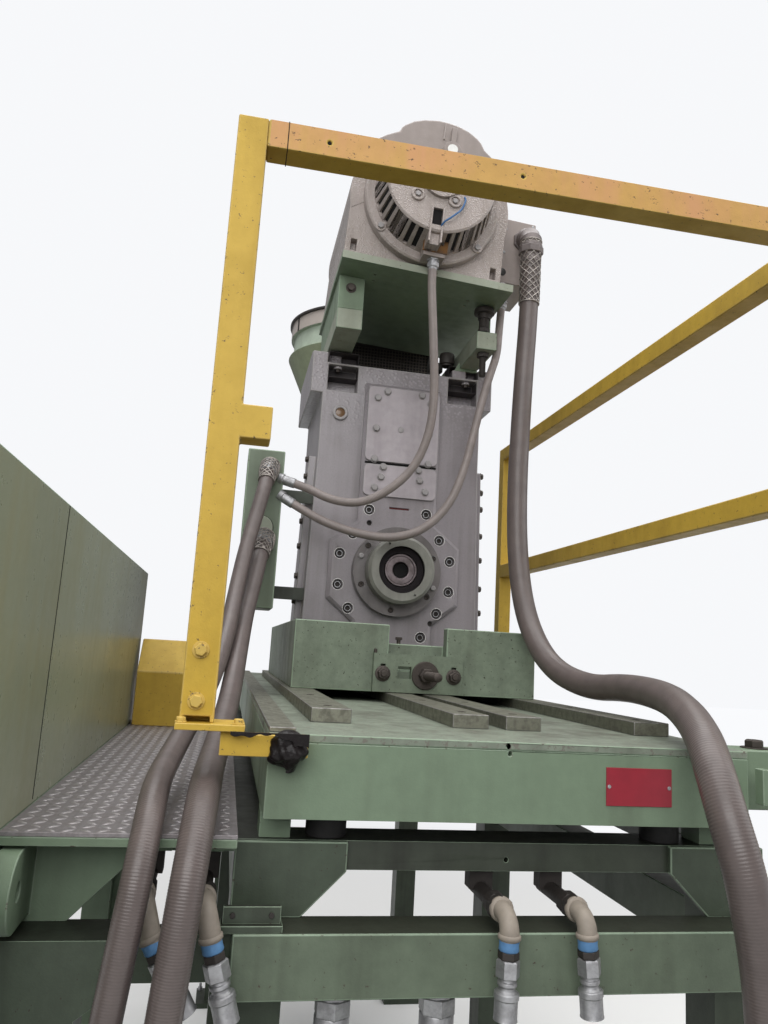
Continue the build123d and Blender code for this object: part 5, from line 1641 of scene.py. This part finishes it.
def make_barrel():
    dress("feed_throat", green_paint, 4.0)
    dress("barrel_support", green_paint, 3.0)
    dress("barrel_flange", bare_steel, 2.0)
    low, high = corners("barrel_cover")
    radius = (high.x - low.x) / 2
    cover = Shape().rod((0, high.y, AXIS_UP), FRONTWARD, radius - 2, high.y - low.y, 64)
    make("barrel_sheet", cover, band_steel, 1.0, replaced=["barrel_cover"])
    bands = Shape()
    for k in range(BARREL_BANDS):
        back = low.y + BAND_INSET + k * (high.y - low.y - 2 * BAND_INSET) / (BARREL_BANDS - 1)
        bands.ring((0, back, AXIS_UP), FRONTWARD, 64, (radius - 3, -BAND_HALF), (radius, -BAND_HALF),
                   (radius, BAND_HALF), (radius - 3, BAND_HALF))
        bands.block(-14, 14, back - 10, back + 10, AXIS_UP + radius - 2, AXIS_UP + radius)
    make("barrel_bands", bands, zinc, 0.5)


# Water fittings under the table: where the pipe ends, the elbow's lower end and the ferrule's

WATER_FRONT = -20.0
WATER_BEND = 38.0
WATER_LINES = (((-604, 1193), (-584, 1143), (-524, 1040)), ((-518, 1187), (-502, 1142), (-471, 1038)),
               ((-65, 1172), (-64, 1141), (-67, 1031)), ((59, 1172), (61, 1142), (70, 1033)))
BEND_STEPS = 16
BEND_RADIUS = 15.5
PIPE_RADIUS = 13
PIPE_BACK = 120
CLAMP = (20, 80, 110)
CLAMPS_TO = {"left": 1235, "right": 1206}
COUPLING_TOP = (20, 1047)
COUPLINGS = (-313, -150)


def make_water():
    iron, tan, tape, silver, ends = (Shape() for _ in range(5))
    low_y = WATER_FRONT - WATER_BEND
    for (x0, z0), (x1, z1), (x2, z2) in WATER_LINES:
        start = Vector((x0, WATER_FRONT, z0))
        iron.tube([(x0, PIPE_BACK, z0), start], PIPE_RADIUS, 28)
        iron.spin((x0, WATER_FRONT + 40, z0), FRONTWARD, (8, (16.5, 0), (18.5, 2), (18.5, 22), (16.5, 24)),
                  (32, (16.5, 22), (16.5, 44)), (6, (18.5, 24), (20.5, 26), (20.5, 42), (18.5, 44)))
        half, front, back = CLAMP
        side = "left" if x0 < TABLE_LEFT else "right"
        iron.block(x0 - half, x0 + half, front, back, z0, CLAMPS_TO[side])
        corner = Vector((x0 + (x1 - x0) * 0.35, low_y - 4, z0 + 2))
        bottom = Vector((x1, low_y, z1))
        bend, radii = [], []
        for k in range(BEND_STEPS + 1):
            t = k / BEND_STEPS
            bend.append(start * (1 - t) ** 2 + corner * 2 * t * (1 - t) + bottom * t * t)
            radii.append(BEND_RADIUS - math.sin(math.pi * t))
        tan.tube(bend, radii, 32)
        collar = [start + Vector((0, -back, up)) for back, up in ((-5, 0), (0, 0), (5, 0.5), (8, 1))]
        tan.tube(collar, [17.5, 19, 19, 16], 32)
        down = (Vector((x2, low_y, z2)) - bottom).normalized()
        tan.spin(bottom - down * 8, down, (32, (15, 0), (17.5, 2), (17.5, 7), (15, 9)))
        tape.spin(bottom, down, (32, (14.4, 0), (15.2, 2), (14.8, 8), (15.4, 14), (14.2, 16)))
        iron.spin(bottom, down, (6, (14, 15), (16.5, 16.5), (16.5, 26), (14, 28)), turn=0.4)
        silver.spin(bottom, down, (6, (16, 27), (18.5, 29), (18.5, 51), (16, 53)),
                    (32, (12.5, 52), (12.5, 56), (15, 58), (15, 62), (12.5, 65), (12.5, 68), (17, 72)),
                    (20, (17, 71), (19, 73), (19, 80), (17.5, 82), (17.5, 108), (18.5, 110), (15.5, 110),
                     (15.5, 90)), turn=0.1)
        # A black disc inside each ferrule: painted shade in its bore
        ends.spin(bottom, down, (24, (15.4, 91), (15.4, 92)))
    make("water_pipe_ends", iron, iron_black, 1.0, replaced=["water_pipes"])
    make("water_elbows_cast", tan, tan_fitting, 0, replaced=["water_elbows"], smooth=60)
    make("water_tape", tape, blue_tape, 0, smooth=60)
    make("water_swivels", silver, zinc, 0.8)
    make("water_ferrule_ends", ends, dark_inside, 0)
    couplings = Shape()
    for across in COUPLINGS:
        couplings.spin((across, *COUPLING_TOP), DOWNWARD, (32, (24, 0), (24, 12)),
                       (6, (27, 10), (29, 12), (29, 34), (27, 36)),
                       (32, (26, 34), (27, 36), (27, 74), (25, 76), (20, 76), (20, 60)))
    make("beam_couplings", couplings, zinc, 0.8)


LEDGE = (383, 398)
LEDGE_UP = (1337, 1395)
LEDGE_BOLT = (436, 60)


def make_right_side():
    """What stands beside the table on the right: the ledge with its bolt and the small block."""
    low, high = corners("guard_outrigger")
    ledge = Shape().block(*LEDGE, low.y - 2, low.y + 20, *LEDGE_UP)
    make("ledge_block", ledge, green_paint, 1.5, worn=green_worn)
    bolt = Shape().bolt((*LEDGE_BOLT, high.z), UPWARD, 34, 13, washer=24)
    make("ledge_bolt", bolt, dark_steel, 0.8)


bpy.context.scene.view_settings.view_transform = "Standard"
make_camera()
make_conduits()
make_floor()
make_light()
make_guard()
make_walkway()
make_base()
make_table()
make_carriage()
make_gearbox()
make_motor_plate()
make_motor()
make_boxes()
make_belt_guard()
make_hopper()
make_barrel()
make_water()
make_right_side()
